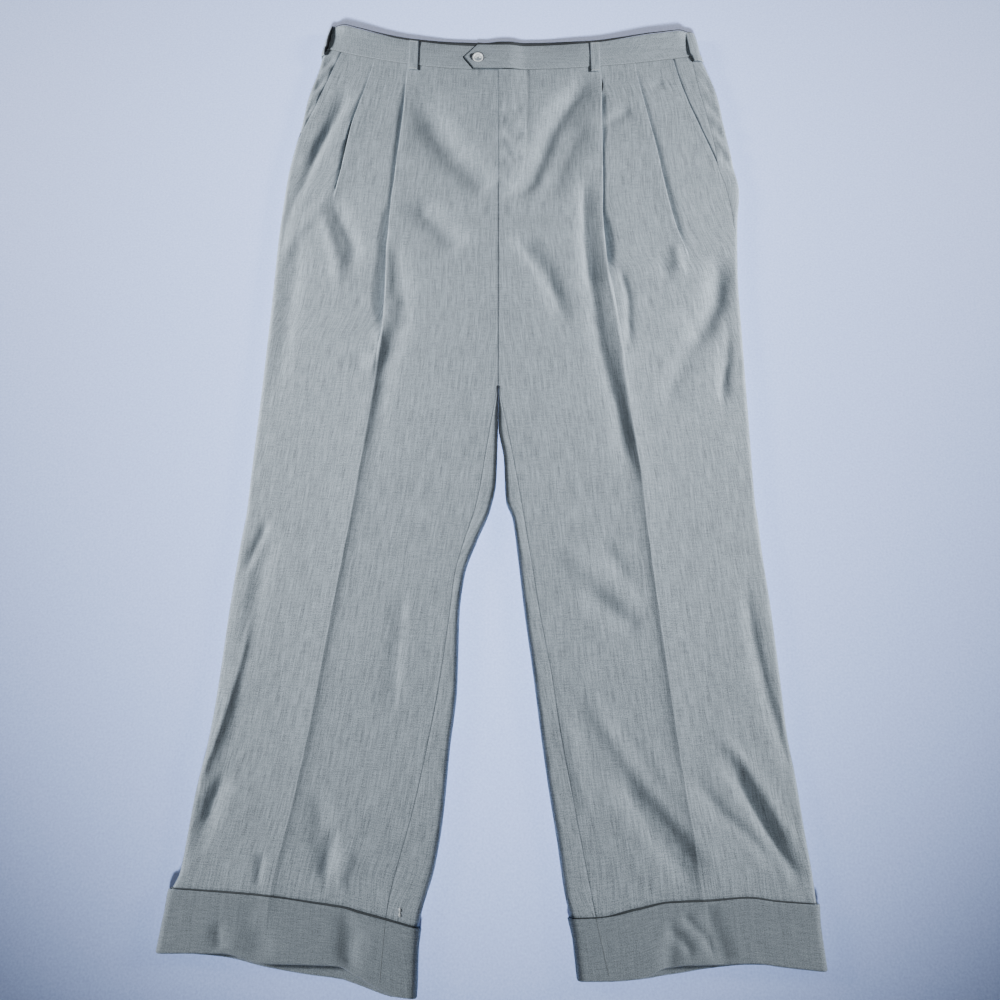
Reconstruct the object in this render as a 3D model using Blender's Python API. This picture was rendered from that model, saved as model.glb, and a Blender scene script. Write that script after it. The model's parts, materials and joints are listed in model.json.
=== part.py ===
"""Pleated dress trousers with turn-up cuffs, laid flat on their back.

Each panel is one cloth wall carried through cross-sections along the leg.
u is the distance out from the centre seam, v the length up from the hem, and
z the height above the floor that the trousers lie on. Sizes are millimetres.
Left and right are the wearer's, and the left side lies towards +X.
"""
import math

import bmesh
import bpy
import numpy as np

METRES = 0.001

# Cloth and seams
CLOTH = 1.2
BAND_CLOTH = 2.4
SEAM = 0.3
HALF = CLOTH / 2

# Lengths up the trousers
CUFF_DEPTH = 54.0
CUFF_SPREAD = 26.0
LEG_END = 2.0
CROTCH = 591.0
SEAT_CURVE = 70.0
FLY_END = 820.0
FLY_TAPER = 35.0
WAIST = 1030.0
BAND_DEPTH = 38.0
WAIST_CURVE = 180.0
HEM_CURVE = 200.0

# Cross-sections
ROLL = 9.0
SEAM_INSET = 1.0
LEAST_ROLL = 1.0
LAYER = CLOTH + SEAM
FLY_OVERLAP = 8.0
FLY_STEP = 1.6
POCKET_TUCK = 8.0
POCKET_EASE = 9.0
POCKET_DROP = LAYER + 2 * SEAM
WAIST_FLAT = 12.0

# Points along a section
CENTRE_STEPS = 5
BEND_STEPS = 3
MIDDLE_STEPS = 3
SIDE_STEPS = 5
FLOOR_STEPS = 3
WRAP_STEPS = 3
INSEAM_STEPS = 4
STATIONS = (
    LEG_END, 28, CUFF_DEPTH, 66, 82, 105, 140, 185, 235, 290, 345, 395, 435, 475, 515, 555,
    CROTCH - 1, CROTCH + 1, 630, 670, 710, 750, 785, 820, 855, 890, 925, 960, 995,
    WAIST - SEAM / 2,
)

# Waistband, loops and button
BAND_LEVEL = 12.0
BAND_ROLL = 7.0
TAB_TIP = -44.0
TAB_TOP = -27.0
TAB_FOOT = -32.0
TAB_MIDDLE = 0.45
TAB_ROOT = -18.0
UNDERLAP = -6.0
STEP_START = 12.0
STEP_END = 36.0
LOOP_WIDTH = 12.0
LOOP_CLOTH = 1.6
LOOP_ARCH = 2.4
LOOP_FOOT = 1021.0
LOOP_CLEAR = 0.5
BUTTON_RADIUS = 7.6
BUTTON_HEIGHT = 2.8
BUTTON_PLACE = (-26.0, 1046.0)
BUTTON_SEGMENTS = 28

GREY_CLOTH = (0.34, 0.37, 0.375, 1.0)
BUTTON_COLOUR = (0.72, 0.72, 0.70, 1.0)


class Table:
    """Rows of named sizes, read at any length v by a smooth curve that never overshoots."""

    def __init__(self, names, *rows):
        data = np.array(sorted(rows), dtype=float)
        self.v = data[:, 0]
        self.columns = dict(zip(names[1:], data[:, 1:].T))

    def at(self, name, v):
        """Read one column at the lengths v."""
        values = self.columns[name]
        step = np.diff(self.v)
        slope = np.diff(values) / step
        tangent = np.zeros(len(values))
        turning = slope[:-1] * slope[1:] > 0
        pair = slope[:-1][turning], slope[1:][turning]
        tangent[1:-1][turning] = 2 * pair[0] * pair[1] / (pair[0] + pair[1])
        tangent[0], tangent[-1] = slope[0], slope[-1]
        v = np.clip(v, self.v[0], self.v[-1])
        i = np.clip(np.searchsorted(self.v, v) - 1, 0, len(step) - 1)
        t = (v - self.v[i]) / step[i]
        start = (1 + 2 * t) * (1 - t) ** 2 * values[i] + t * (1 - t) ** 2 * step[i] * tangent[i]
        end = t * t * (3 - 2 * t) * values[i + 1] - t * t * (1 - t) * step[i] * tangent[i + 1]
        return start + end


# Outline of each leg and its seams
LEG_COLUMNS = ("v", "outer", "inner", "inseam", "side_seam", "pocket", "level")
LEFT_LEG = Table(
    LEG_COLUMNS,
    (0, 291.5, 71.5, 99, 400, 400, 10.6),
    (50, 289.5, 66.5, 89, 400, 400, 10.6),
    (73, 289, 61, 85, 400, 400, 10.4),
    (119, 286, 55, 77, 400, 400, 10.4),
    (176, 283, 47, 68, 400, 400, 10.4),
    (225, 279, 41, 60, 400, 400, 10.5),
    (277, 278, 35, 53, 400, 400, 10.6),
    (346, 276, 26, 41, 400, 400, 10.8),
    (401, 273, 20, 33, 400, 400, 11.0),
    (440, 272, 15, 27, 400, 400, 11.0),
    (460, 271, 8, 24, 400, 400, 11.0),
    (507, 272, 6, 16, 400, 400, 11.0),
    (545, 273, 0.15, 9, 400, 400, 11.0),
    (591, 274, 0.15, 1.6, 400, 400, 11.0),
    (676, 276, 0.15, 1.6, 400, 400, 11.0),
    (718, 277, 0.15, 1.6, 290, 400, 11.0),
    (761, 280, 0.15, 1.6, 279, 400, 11.0),
    (805, 284, 0.15, 1.6, 278, 400, 11.0),
    (853, 290, 0.15, 1.6, 273, 276, 11.2),
    (883, 286, 0.15, 1.6, 266, 266, 11.3),
    (904, 284, 0.15, 1.6, 265, 259, 11.4),
    (933, 280, 0.15, 1.6, 261, 248.5, 11.4),
    (971, 276, 0.15, 1.6, 254, 235.5, 11.4),
    (1004, 267, 0.15, 1.6, 249, 227, 11.5),
    (1030, 258.5, 0.15, 1.6, 246, 222.5, 11.5),
)
RIGHT_LEG = Table(
    LEG_COLUMNS,
    (0, 304.5, 72.5, 104, 400, 400, 10.6),
    (50, 298.5, 72.0, 101, 400, 400, 10.6),
    (67, 292, 69, 99, 400, 400, 10.4),
    (105, 289, 58, 91, 400, 400, 10.4),
    (150, 286, 51, 80, 400, 400, 10.4),
    (210, 279, 46, 68, 400, 400, 10.5),
    (267, 275, 40, 58, 400, 400, 10.6),
    (336, 272, 39, 49, 400, 400, 10.8),
    (380, 269.5, 34, 44, 400, 400, 11.0),
    (415, 267, 22, 35, 400, 400, 11.0),
    (450, 264, 8, 24, 400, 400, 11.0),
    (480, 263.5, 2, 18, 400, 400, 11.0),
    (507, 263, 1, 14, 400, 400, 11.0),
    (545, 262, 0.15, 8, 400, 400, 11.0),
    (591, 261, 0.15, 1.6, 400, 400, 11.0),
    (693, 259.5, 0.15, 1.6, 400, 400, 11.0),
    (779, 259, 0.15, 1.6, 400, 400, 11.0),
    (823, 257.5, 0.15, 1.6, 400, 400, 11.0),
    (868, 255, 0.15, 1.6, 400, 400, 11.2),
    (908, 249, 0.15, 1.6, 400, 250, 11.4),
    (930, 244, 0.15, 1.6, 400, 238.5, 11.4),
    (960, 240, 0.15, 1.6, 400, 225.5, 11.4),
    (980, 235, 0.15, 1.6, 400, 217.5, 11.4),
    (1000, 229, 0.15, 1.6, 400, 210.5, 11.5),
    (1030, 224.5, 0.15, 1.6, 400, 200.5, 11.5),
)

# Pleats: the fold edge, the radius and turn of its two bends, the run tucked
# between them, the edge's height above the panel, and how far each side falls
PLEAT_COLUMNS = ("v", "fold", "bend", "turn", "tuck", "lift", "fall_in", "fall_out")
LEFT_MAIN_PLEAT = Table(
    PLEAT_COLUMNS,
    (0, 188, 8, 8, 2.0, 0.4, 14, 20),
    (60, 185.5, 7, 10, 2.0, 1.0, 14, 20),
    (155, 177, 6, 12, 2.0, 1.8, 14, 24),
    (253, 169, 6, 12, 2.0, 2.2, 13, 26),
    (349, 161, 6, 12, 2.0, 2.4, 12, 26),
    (430, 155, 6, 12, 2.0, 2.6, 12, 24),
    (482, 152, 6, 14, 2.0, 2.8, 12, 24),
    (592, 141, 6, 14, 2.0, 3.2, 12, 24),
    (680, 132.5, 4, 25, 1.5, 3.0, 14, 20),
    (715, 129.5, 2.2, 60, 1.2, 2.8, 16, 14),
    (745, 127.5, 1.7, 110, 1.2, 3.0, 16, 8),
    (780, 126, 1.7, 140, 2.0, 3.0, 16, 7),
    (820, 125, 1.3, 160, 4.0, 2.2, 16, 6),
    (860, 126, 1.1, 172, 8.0, 1.6, 16, 6),
    (905, 127, 1.1, 172, 8.0, 1.6, 16, 6),
    (945, 130, 1.3, 165, 8.0, 2.2, 16, 6),
    (1000, 129.5, 1.1, 178, 14.0, 1.4, 16, 5),
    (1030, 128.5, 1.1, 178, 14.0, 1.1, 16, 4),
)
RIGHT_MAIN_PLEAT = Table(
    PLEAT_COLUMNS,
    (0, 209, 8, 8, 2.0, 0.4, 14, 20),
    (60, 206, 7, 10, 2.0, 1.2, 14, 20),
    (120, 196, 6, 12, 2.0, 1.8, 14, 24),
    (231, 181, 6, 12, 2.0, 2.2, 13, 26),
    (335, 168, 6, 12, 2.0, 2.4, 12, 26),
    (447, 153, 6, 12, 2.0, 2.6, 12, 24),
    (525, 144, 6, 14, 2.0, 3.0, 12, 24),
    (600, 136, 4, 25, 1.5, 3.0, 14, 20),
    (640, 134, 2.2, 60, 1.2, 2.8, 16, 14),
    (668, 133, 1.7, 95, 1.2, 3.0, 16, 9),
    (700, 132.5, 1.9, 125, 1.2, 3.2, 16, 8),
    (755, 131, 1.9, 135, 1.5, 3.2, 16, 8),
    (840, 129, 1.7, 150, 3.0, 3.0, 16, 7),
    (885, 125, 1.4, 162, 6.0, 2.6, 16, 6),
    (930, 119, 1.2, 172, 10.0, 2.0, 16, 6),
    (1000, 114, 1.1, 178, 14.0, 1.4, 16, 5),
    (1030, 113, 1.1, 178, 14.0, 1.1, 16, 4),
)
LEFT_SIDE_PLEAT = Table(
    PLEAT_COLUMNS,
    (0, 240, 10, 8, 2.0, 0.1, 10, 10),
    (600, 226, 10, 8, 2.0, 0.1, 10, 10),
    (740, 221, 7, 12, 2.0, 0.4, 10, 10),
    (765, 218, 2.6, 45, 1.2, 1.2, 12, 9),
    (800, 211, 1.5, 110, 1.5, 2.4, 14, 8),
    (850, 202, 1.6, 145, 3.0, 2.8, 14, 7),
    (900, 194.5, 1.4, 160, 5.0, 2.4, 14, 6),
    (945, 186, 1.2, 172, 8.0, 1.8, 14, 5),
    (1000, 176.5, 1.1, 178, 12.0, 1.3, 14, 4),
    (1030, 173.5, 1.1, 178, 12.0, 1.1, 14, 4),
)
RIGHT_SIDE_PLEAT = Table(
    PLEAT_COLUMNS,
    (0, 255, 10, 8, 2.0, 0.1, 10, 10),
    (700, 206, 10, 8, 2.0, 0.1, 10, 10),
    (815, 195, 8, 10, 2.0, 0.3, 10, 10),
    (845, 193, 3.5, 30, 1.2, 1.2, 12, 10),
    (868, 190.5, 1.9, 80, 1.2, 2.4, 12, 9),
    (895, 187, 1.8, 135, 2.0, 3.2, 14, 8),
    (925, 182, 1.6, 155, 4.0, 2.8, 14, 6),
    (960, 173, 1.3, 168, 8.0, 2.2, 14, 5),
    (1000, 162, 1.1, 178, 12.0, 1.4, 14, 4),
    (1030, 157, 1.1, 178, 12.0, 1.1, 14, 4),
)

# Loose folds of the cloth: half width, height (a trough is below zero) and path
LEFT_FOLDS = (
    (17, -1.8, ((130, 1012), (95, 967), (69, 921), (50, 870))),
    (7, -1.0, ((18, 785), (48, 737), (72, 696))),
    (9, -1.8, ((101, 828), (107, 715), (115, 642), (130, 571), (134, 520), (148, 462))),
    (10, -2.0, ((253, 770), (251, 698), (233, 659), (212, 641))),
    (7, -1.4, ((251, 650), (248, 570))),
    (11, -2.2, ((112, 190), (150, 130), (187, 70))),
    (10, -2.2, ((214, 210), (243, 139), (272, 70))),
    (11, 1.2, ((132, 230), (172, 150), (218, 75))),
    (8, -1.6, ((185, 56), (205, -5))),
    (8, -1.4, ((158, 34), (150, -5))),
)
RIGHT_FOLDS = (
    (8, -1.6, ((186, 986), (207, 936), (226, 880))),
    (9, -1.6, ((200, 841), (183, 803), (171, 780), (170, 735))),
    (9, -1.8, ((117, 790), (107, 698), (112, 647), (125, 600), (140, 470))),
    (22, -1.0, ((92, 950), (45, 890))),
    (10, -1.2, ((230, 450), (250, 330), (262, 250))),
    (9, 1.1, ((250, 420), (265, 250), (275, 150))),
    (9, -1.4, ((170, 165), (158, 72))),
    (9, -1.6, ((262, 170), (278, 82))),
    (5, -1.8, ((136, 58), (133, -5))),
    (11, -1.2, ((222, 58), (215, -5))),
)

# Edges of the turn-up above its lowest point: front and back layer, and its top
HEM_COLUMNS = ("u", "front", "back", "top")
LEFT_HEM = Table(
    HEM_COLUMNS,
    (65, 15, 14, 10.5),
    (92, 15, 14, 11.5),
    (126, 17, 14.5, 18),
    (153, 27, 17, 23.5),
    (190, 28, 23, 25),
    (226, 29, 26, 27.5),
    (254, 26, 25, 24.5),
    (295, 22, 22, 22),
)
RIGHT_HEM = Table(
    HEM_COLUMNS,
    (68, 1, 0, 1.5),
    (87, 3, 0, 6.5),
    (124, 19, 9, 15.5),
    (140, 27, 13, 19.5),
    (170, 28, 17, 24),
    (208, 29, 24, 29),
    (246, 37, 32, 32),
    (306, 37, 37, 36),
)


class Side:
    """One half of the trousers, with the tables that shape it."""

    def __init__(self, name, sign, leg, pleats, folds, hem, waist_rise, loops, band_top):
        self.name = name
        self.sign = sign
        self.leg = leg
        self.pleats = pleats
        self.folds = folds
        self.hem = hem
        self.waist_rise = waist_rise
        self.loops = loops
        self.band_top = band_top


LEFT = Side("left", 1, LEFT_LEG, (LEFT_MAIN_PLEAT, LEFT_SIDE_PLEAT), LEFT_FOLDS, LEFT_HEM,
            24.0, {"front": 123.0, "side": 8.0}, 253.0)
RIGHT = Side("right", -1, RIGHT_LEG, (RIGHT_MAIN_PLEAT, RIGHT_SIDE_PLEAT), RIGHT_FOLDS, RIGHT_HEM,
             36.0, {"front": 108.0, "side": 4.5}, 218.0)


def smooth(t):
    """Ease from 0 to 1 as t does."""
    t = np.clip(t, 0, 1)
    return t * t * (3 - 2 * t)


def length_shift(side, u, v, upper):
    """How far a point moves up the trousers because the hem and waist are not straight."""
    front = side.hem.at("front", u)
    back = side.hem.at("back", u)
    hem = back + (front - back) * upper
    hem = hem + (side.hem.at("top", u) - hem) * np.clip(v / CUFF_DEPTH, 0, 1)
    near_hem = 1 - smooth((v - CUFF_DEPTH - 6) / HEM_CURVE)
    half_waist = side.leg.columns["outer"][-1]
    waist = side.waist_rise * (np.minimum(np.abs(u), half_waist - WAIST_FLAT) / half_waist) ** 2
    near_waist = smooth((v - WAIST + WAIST_CURVE) / WAIST_CURVE)
    return hem * near_hem + waist * near_waist


def loose_folds(side, u, v):
    """Height that the loose folds add at the points u, v."""
    total = np.zeros(np.broadcast(u, v).shape)
    for width, height, path in side.folds:
        nearest = np.full(total.shape, 1e9)
        along = np.zeros(total.shape)
        spans = len(path) - 1
        for k in range(spans):
            (u0, v0), (u1, v1) = path[k], path[k + 1]
            du, dv = u1 - u0, v1 - v0
            t = np.clip(((u - u0) * du + (v - v0) * dv) / (du * du + dv * dv), 0, 1)
            distance = np.hypot(u - u0 - t * du, v - v0 - t * dv)
            along = np.where(distance < nearest, (k + t) / spans, along)
            nearest = np.minimum(distance, nearest)
        taper = smooth(along * 4) * smooth((1 - along) * 4)
        total += height * taper * np.exp(-(nearest / width) ** 2)
    return total


class Section:
    """Cross-section of one side at length v: the middle line of its cloth."""

    def __init__(self, side, v):
        self.side = side
        self.v = v
        leg = side.leg
        self.outer = leg.at("outer", v) - HALF
        self.inner = leg.at("inner", v) + HALF
        self.level = leg.at("level", v)
        self.floor = HALF + LAYER * (1 - smooth((v - CUFF_DEPTH - 4) / CUFF_SPREAD))
        self.middle = (self.level + self.floor) / 2
        self.seam = min(leg.at("side_seam", v), self.outer - SEAM_INSET)
        self.mouth = min(leg.at("pocket", v), self.seam)
        self.inseam = leg.at("inseam", v)
        self.inner_roll = np.clip(self.inseam - self.inner - HALF, LEAST_ROLL, ROLL)
        self.pleats = [Pleat(table, v) for table in side.pleats]

    def above_crotch(self):
        """Whether the two sides are still one tube here."""
        return self.v > CROTCH

    def height(self, u, zone):
        """Height of the upper layer: zone 0 is before the pleats, 2 beyond both."""
        z = self.level + self.fly_step(u)
        for number, pleat in enumerate(self.pleats):
            z = z + pleat.rest_height(u, zone > number)
        z = z + loose_folds(self.side, u, self.v)
        z = self.middle + (z - self.middle) * edge_fall(self.outer - u, ROLL)
        if not self.above_crotch():
            z = self.middle + (z - self.middle) * edge_fall(u - self.inner, self.inner_roll)
        return z

    def fly_step(self, u):
        """The left front steps up over the right one along the fly."""
        if self.side is RIGHT:
            return np.zeros(np.shape(u))
        raised = smooth((self.v - FLY_END) / FLY_TAPER)
        return FLY_STEP * raised * (1 - smooth((u - FLY_OVERLAP - 4) / 24))

    def front_start(self):
        """Where the front begins: its fly edge, or the inseam below the crotch."""
        if not self.above_crotch():
            steep = (ROLL - self.inner_roll) / (ROLL - LEAST_ROLL)
            return self.inseam + SEAM + HALF * steep
        overlap = smooth((self.v - FLY_END - FLY_TAPER) / FLY_TAPER)
        if self.side is LEFT:
            return SEAM / 2
        return SEAM / 2 - (FLY_OVERLAP + SEAM / 2) * overlap

    def front_line(self):
        """Middle line of the front panel from the centre out to its side edge."""
        start = self.front_start()
        line, zone, edge = [], 0, [start, start + 1.0]
        start += FLY_OVERLAP + 4
        for pleat, steps in zip(self.pleats, (CENTRE_STEPS, MIDDLE_STEPS)):
            share = np.arange(steps) / steps
            u = np.append(edge, start + (pleat.start - start) * (1 - (1 - share) ** 1.4))
            line.append(np.column_stack((u, self.height(u, zone))))
            top = self.height(np.array([pleat.start]), zone)[0]
            foot = self.height(np.array([pleat.end]), zone + 1)[0]
            line.append(pleat.line(top, foot)[:-1])
            edge, start, zone = [pleat.end], pleat.end + pleat.under, zone + 1
        angle = np.linspace(0, math.pi / 2, SIDE_STEPS + 1)
        u = np.append(edge, start + (self.mouth - SEAM / 2 - start) * np.sin(angle))
        line.append(np.column_stack((u, self.height(u, zone))))
        return np.vstack(line)

    def facing_line(self):
        """Middle line of the pocket facing, tucked under the front's slanted edge."""
        end = self.seam - SEAM / 2
        start = self.mouth - POCKET_TUCK
        u = start + (end - start) * np.sin(np.linspace(0, math.pi / 2, SIDE_STEPS + 1))
        line = np.column_stack((u, self.height(u, 2)))
        wide = smooth((self.seam - self.mouth - POCKET_EASE / 2) / POCKET_EASE)
        drop = POCKET_DROP * (1 - wide * smooth((u - self.mouth - 2) / POCKET_EASE))
        return line - line_normals(line) * drop[:, None]

    def back_line(self):
        """Middle line of the back: over the side, along the floor and up the inner fold."""
        angle = np.linspace(0, math.pi / 2, WRAP_STEPS + 1)
        start = self.seam + SEAM / 2
        near = start + 0.2 * (self.outer - start)
        u = np.insert(start + (self.outer - start) * np.sin(angle), 1, near)
        over = np.column_stack((u, self.height(u, 2)))
        centre = self.outer - ROLL
        under = np.column_stack((centre + ROLL * np.cos(angle[1:]),
                                 self.middle - (self.middle - self.floor) * np.sin(angle[1:])))
        tail = self.tail_above() if self.above_crotch() else self.tail_below()
        share = np.arange(1, FLOOR_STEPS)[:, None] / FLOOR_STEPS
        floor = under[-1] + (tail[0] - under[-1]) * share
        return np.vstack((over, under, floor, tail))

    def tail_below(self):
        """The inner fold of a leg, from the floor up and over to the inseam."""
        angle = np.linspace(math.pi / 2, 0, WRAP_STEPS + 1)
        roll = self.inner_roll
        under = np.column_stack((self.inner + roll * (1 - np.cos(angle)),
                                 self.middle - (self.middle - self.floor) * np.sin(angle)))
        share = 1 - np.cos(np.linspace(0, math.pi / 2, INSEAM_STEPS + 1)[1:])
        u = self.inner + (self.inseam - SEAM / 2 - self.inner) * share
        return np.vstack((under, np.column_stack((u, self.height(u, 0)))))

    def tail_above(self):
        """The back's centre edge, which climbs to the crotch along the seat seam."""
        steps = WRAP_STEPS + INSEAM_STEPS
        climb = 1 - smooth((self.v - CROTCH) / SEAT_CURVE)
        top = math.asin((self.level - self.middle - 2.6) / (self.level - self.middle))
        end_angle = -math.pi / 2 + climb * (math.pi / 2 + top)
        roll = self.inner_roll * climb
        angle = np.linspace(-math.pi / 2, end_angle, 40)
        reach = SEAM / 2 + HALF * smooth(climb * 4)
        arc = np.column_stack((reach + roll * (1 - np.cos(angle)),
                               self.middle + (self.middle - self.floor) * np.sin(angle)))
        lead = np.array([[arc[0, 0] + 4.0, arc[0, 1]]])
        line = np.vstack((lead, arc))
        return points_along(line, 0, line_lengths(line)[-1], steps)


class Pleat:
    """A fold pressed in the front: an S-bend whose two arcs turn up to half a circle."""

    def __init__(self, table, v):
        read = {name: float(table.at(name, v)) for name in PLEAT_COLUMNS[1:]}
        self.bend = read["bend"]
        self.turn = math.radians(read["turn"])
        self.tuck = read["tuck"]
        self.lift = read["lift"]
        self.fall_in = read["fall_in"]
        self.fall_out = read["fall_out"]
        reach = self.bend * math.sin(min(self.turn, math.pi / 2))
        self.start = read["fold"] - reach
        self.end = self.start + 2 * self.bend * math.sin(self.turn) + self.tuck * math.cos(self.turn)
        self.drop = 2 * self.bend * (1 - math.cos(self.turn)) + self.tuck * math.sin(self.turn)
        self.over = self.tuck * max(-math.cos(self.turn), 0)
        self.under = (self.tuck + self.bend) * max(-math.cos(self.turn), 0) + CLOTH

    def line(self, top, foot):
        """Points from the fold's start to its end, fitted between the two heights."""
        angle = np.linspace(0, self.turn, BEND_STEPS + 1)
        first = np.column_stack((self.bend * np.sin(angle), -self.bend * (1 - np.cos(angle))))
        run = np.array([math.cos(self.turn), -math.sin(self.turn)]) * self.tuck
        span = np.array([self.end - self.start, -self.drop])
        last = span - first[::-1]
        points = np.vstack((first, last))
        assert np.allclose(first[-1] + run, last[0], atol=1e-6)
        error = foot - (top - self.drop)
        share = line_lengths(points)
        share = share / share[-1]
        return np.column_stack((self.start + points[:, 0], top + points[:, 1] + error * share))

    def rest_height(self, u, beyond):
        """Height that this pleat gives the cloth on either side of it."""
        if beyond:
            away = np.maximum(u - self.end - self.under, 0)
            return (self.lift - self.drop) * np.exp(-away / self.fall_out)
        away = np.maximum(self.start - u - self.over, 0)
        return self.lift * np.exp(-away / self.fall_in)


def edge_fall(inside, roll):
    """Quarter circle that brings a layer down to the fold at its edge."""
    q = np.clip(1 - inside / roll, 0, 1)
    return np.sqrt(1 - q * q)


def line_lengths(line):
    """Length along a line up to each of its points."""
    return np.concatenate(([0], np.cumsum(np.hypot(*np.diff(line, axis=0).T))))


def points_along(line, start, end, steps):
    """Spread steps + 1 points evenly between two lengths along a line."""
    lengths = line_lengths(line)
    at = np.linspace(start, end, steps + 1)
    return np.column_stack([np.interp(at, lengths, line[:, k]) for k in range(2)])


def line_normals(line, closed=False):
    """Unit normals of a section line, lengthened at bends so a wall keeps its thickness."""
    if closed:
        before = line - np.roll(line, 1, axis=0)
        after = np.roll(line, -1, axis=0) - line
    else:
        edges = np.diff(line, axis=0)
        before = np.vstack((edges[:1], edges))
        after = np.vstack((edges, edges[-1:]))
    before = before / np.linalg.norm(before, axis=1)[:, None]
    after = after / np.linalg.norm(after, axis=1)[:, None]
    mean = before + after
    half = np.linalg.norm(mean, axis=1) / 2
    mean = mean / np.maximum(np.linalg.norm(mean, axis=1)[:, None], 1e-9)
    normal = np.column_stack((-mean[:, 1], mean[:, 0]))
    return normal / np.maximum(half, 0.6)[:, None]


def place(side, line, v):
    """Give section points their place in space, shifted where hem and waist curve."""
    level = side.leg.at("level", v)
    upper = np.clip((line[:, 1] - HALF) / (level - HALF), 0, 1)
    up = v + length_shift(side, line[:, 0], v, upper)
    return np.column_stack((side.sign * line[:, 0], up, line[:, 1]))


def wall(name, outer, inner, material, closed=False):
    """Close two grids of points, one on each face of the cloth, into one solid."""
    rows, columns = outer.shape[:2]
    points = np.vstack((outer.reshape(-1, 3), inner.reshape(-1, 3)))
    back = rows * columns
    faces = []
    spans = columns if closed else columns - 1
    for i in range(rows - 1):
        for j in range(spans):
            k = (j + 1) % columns
            a, b, c, d = i * columns + j, i * columns + k, (i + 1) * columns + k, (i + 1) * columns + j
            faces.append((a, b, c, d))
            faces.append((back + d, back + c, back + b, back + a))
    for j in range(spans):
        k = (j + 1) % columns
        last = (rows - 1) * columns
        faces.append((j, back + j, back + k, k))
        faces.append((last + k, back + last + k, back + last + j, last + j))
    if not closed:
        for i in range(rows - 1):
            a, d = i * columns, (i + 1) * columns
            b, c = a + columns - 1, d + columns - 1
            faces.append((a, d, back + d, back + a))
            faces.append((c, b, back + b, back + c))
    return solid(name, points, faces, material)


def solid(name, points, faces, material):
    """Make one named object from points in millimetres."""
    mesh = bpy.data.meshes.new(name)
    mesh.from_pydata((points * METRES).tolist(), [], faces)
    body = bmesh.new()
    body.from_mesh(mesh)
    bmesh.ops.triangulate(body, faces=body.faces)
    bmesh.ops.recalc_face_normals(body, faces=body.faces)
    body.to_mesh(mesh)
    body.free()
    mesh.shade_smooth()
    mesh.set_sharp_from_angle(angle=math.radians(50))
    mesh.materials.append(material)
    piece = bpy.data.objects.new(name, mesh)
    bpy.context.collection.objects.link(piece)
    return piece


def cloth_panel(name, side, lengths, line_of, material):
    """A panel whose middle line at each length comes from line_of."""
    outer, inner = [], []
    for v in lengths:
        line = line_of(Section(side, v))
        normal = line_normals(line) * HALF
        outer.append(place_moved(side, line, normal, v))
        inner.append(place_moved(side, line, -normal, v))
    return wall(name, np.array(outer), np.array(inner), material)


def place_moved(side, line, offset, v):
    """Place a line's points, then move them square to the cloth."""
    placed = place(side, line, v)
    placed[:, 0] += side.sign * offset[:, 0]
    placed[:, 2] += offset[:, 1]
    return placed


def build_facing(side, material):
    """The strip of cloth that shows in the slanted pocket mouth."""
    bottom = side.leg.v[np.argmax(side.leg.columns["pocket"] < 300)] + 14
    lengths = [bottom] + [v for v in STATIONS if v > bottom]
    return cloth_panel(f"pocket_facing_{side.name}", side, lengths, Section.facing_line, material)


def build_cuff(side, material):
    """The turn-up: a tube made from the points of the leg's end, moved out."""
    outer, inner = [], []
    for v, place_at in ((LEG_END, 0.0), (STATIONS[1], STATIONS[1]), (CUFF_DEPTH, CUFF_DEPTH)):
        section = Section(side, v)
        line = np.vstack((section.front_line(), section.back_line()))
        normal = line_normals(line, closed=True)
        outer.append(place_moved(side, line, normal * (LAYER + HALF), place_at))
        inner.append(place_moved(side, line, normal * (LAYER - HALF), place_at))
    return wall(f"cuff_{side.name}", np.array(outer), np.array(inner), material, closed=True)


def band_outer(side, v):
    """Where the waistband's side edge lies; it narrows towards its top."""
    share = (v - WAIST) / BAND_DEPTH
    foot = side.leg.columns["outer"][-1] - 1.5
    return foot + (side.band_top - foot) * share


def band_wrap(side, v, outer):
    """Line of the band round the side, from the front's flat to the floor."""
    middle = (BAND_LEVEL + BAND_CLOTH / 2) / 2
    rise = BAND_LEVEL - middle
    angle = np.linspace(math.pi / 2, -math.pi / 2, 9)
    return np.column_stack((outer - BAND_ROLL * (1 - np.cos(angle)), middle + rise * np.sin(angle)))


def band_front_end(side, share):
    """Front end of the band at a share of its depth; the left one is a pointed tab."""
    if side is RIGHT:
        return UNDERLAP
    return np.interp(share, (0, TAB_MIDDLE, 1), (TAB_FOOT, TAB_TIP, TAB_TOP))


def band_line(side, v):
    """Middle line of the waistband from its front end round to the centre back."""
    share = (v - WAIST - SEAM / 2) / (BAND_DEPTH - SEAM / 2)
    wrap = band_wrap(side, v, band_outer(side, v) - BAND_CLOTH / 2)
    root = TAB_ROOT if side is LEFT else UNDERLAP + 4
    ends = np.linspace(band_front_end(side, share), root, 3)[:-1]
    corner = min(side.leg.columns["outer"][-1] - WAIST_FLAT, wrap[0, 0] - 3)
    flat = np.concatenate((ends, (root, 0, STEP_START, 20, 28, STEP_END, 80, 125, 170, corner)))
    step = 0.0
    if side is LEFT:
        step = (BAND_CLOTH + LOOP_CLEAR) * (1 - smooth((flat - STEP_START) / (STEP_END - STEP_START)))
    front = np.column_stack((flat, BAND_LEVEL + step * np.ones(len(flat))))
    floor = np.linspace(wrap[-1, 0], SEAM / 2, 4)[1:]
    back = np.column_stack((floor, np.full(3, BAND_CLOTH / 2)))
    return np.vstack((front, wrap, back))


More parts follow.
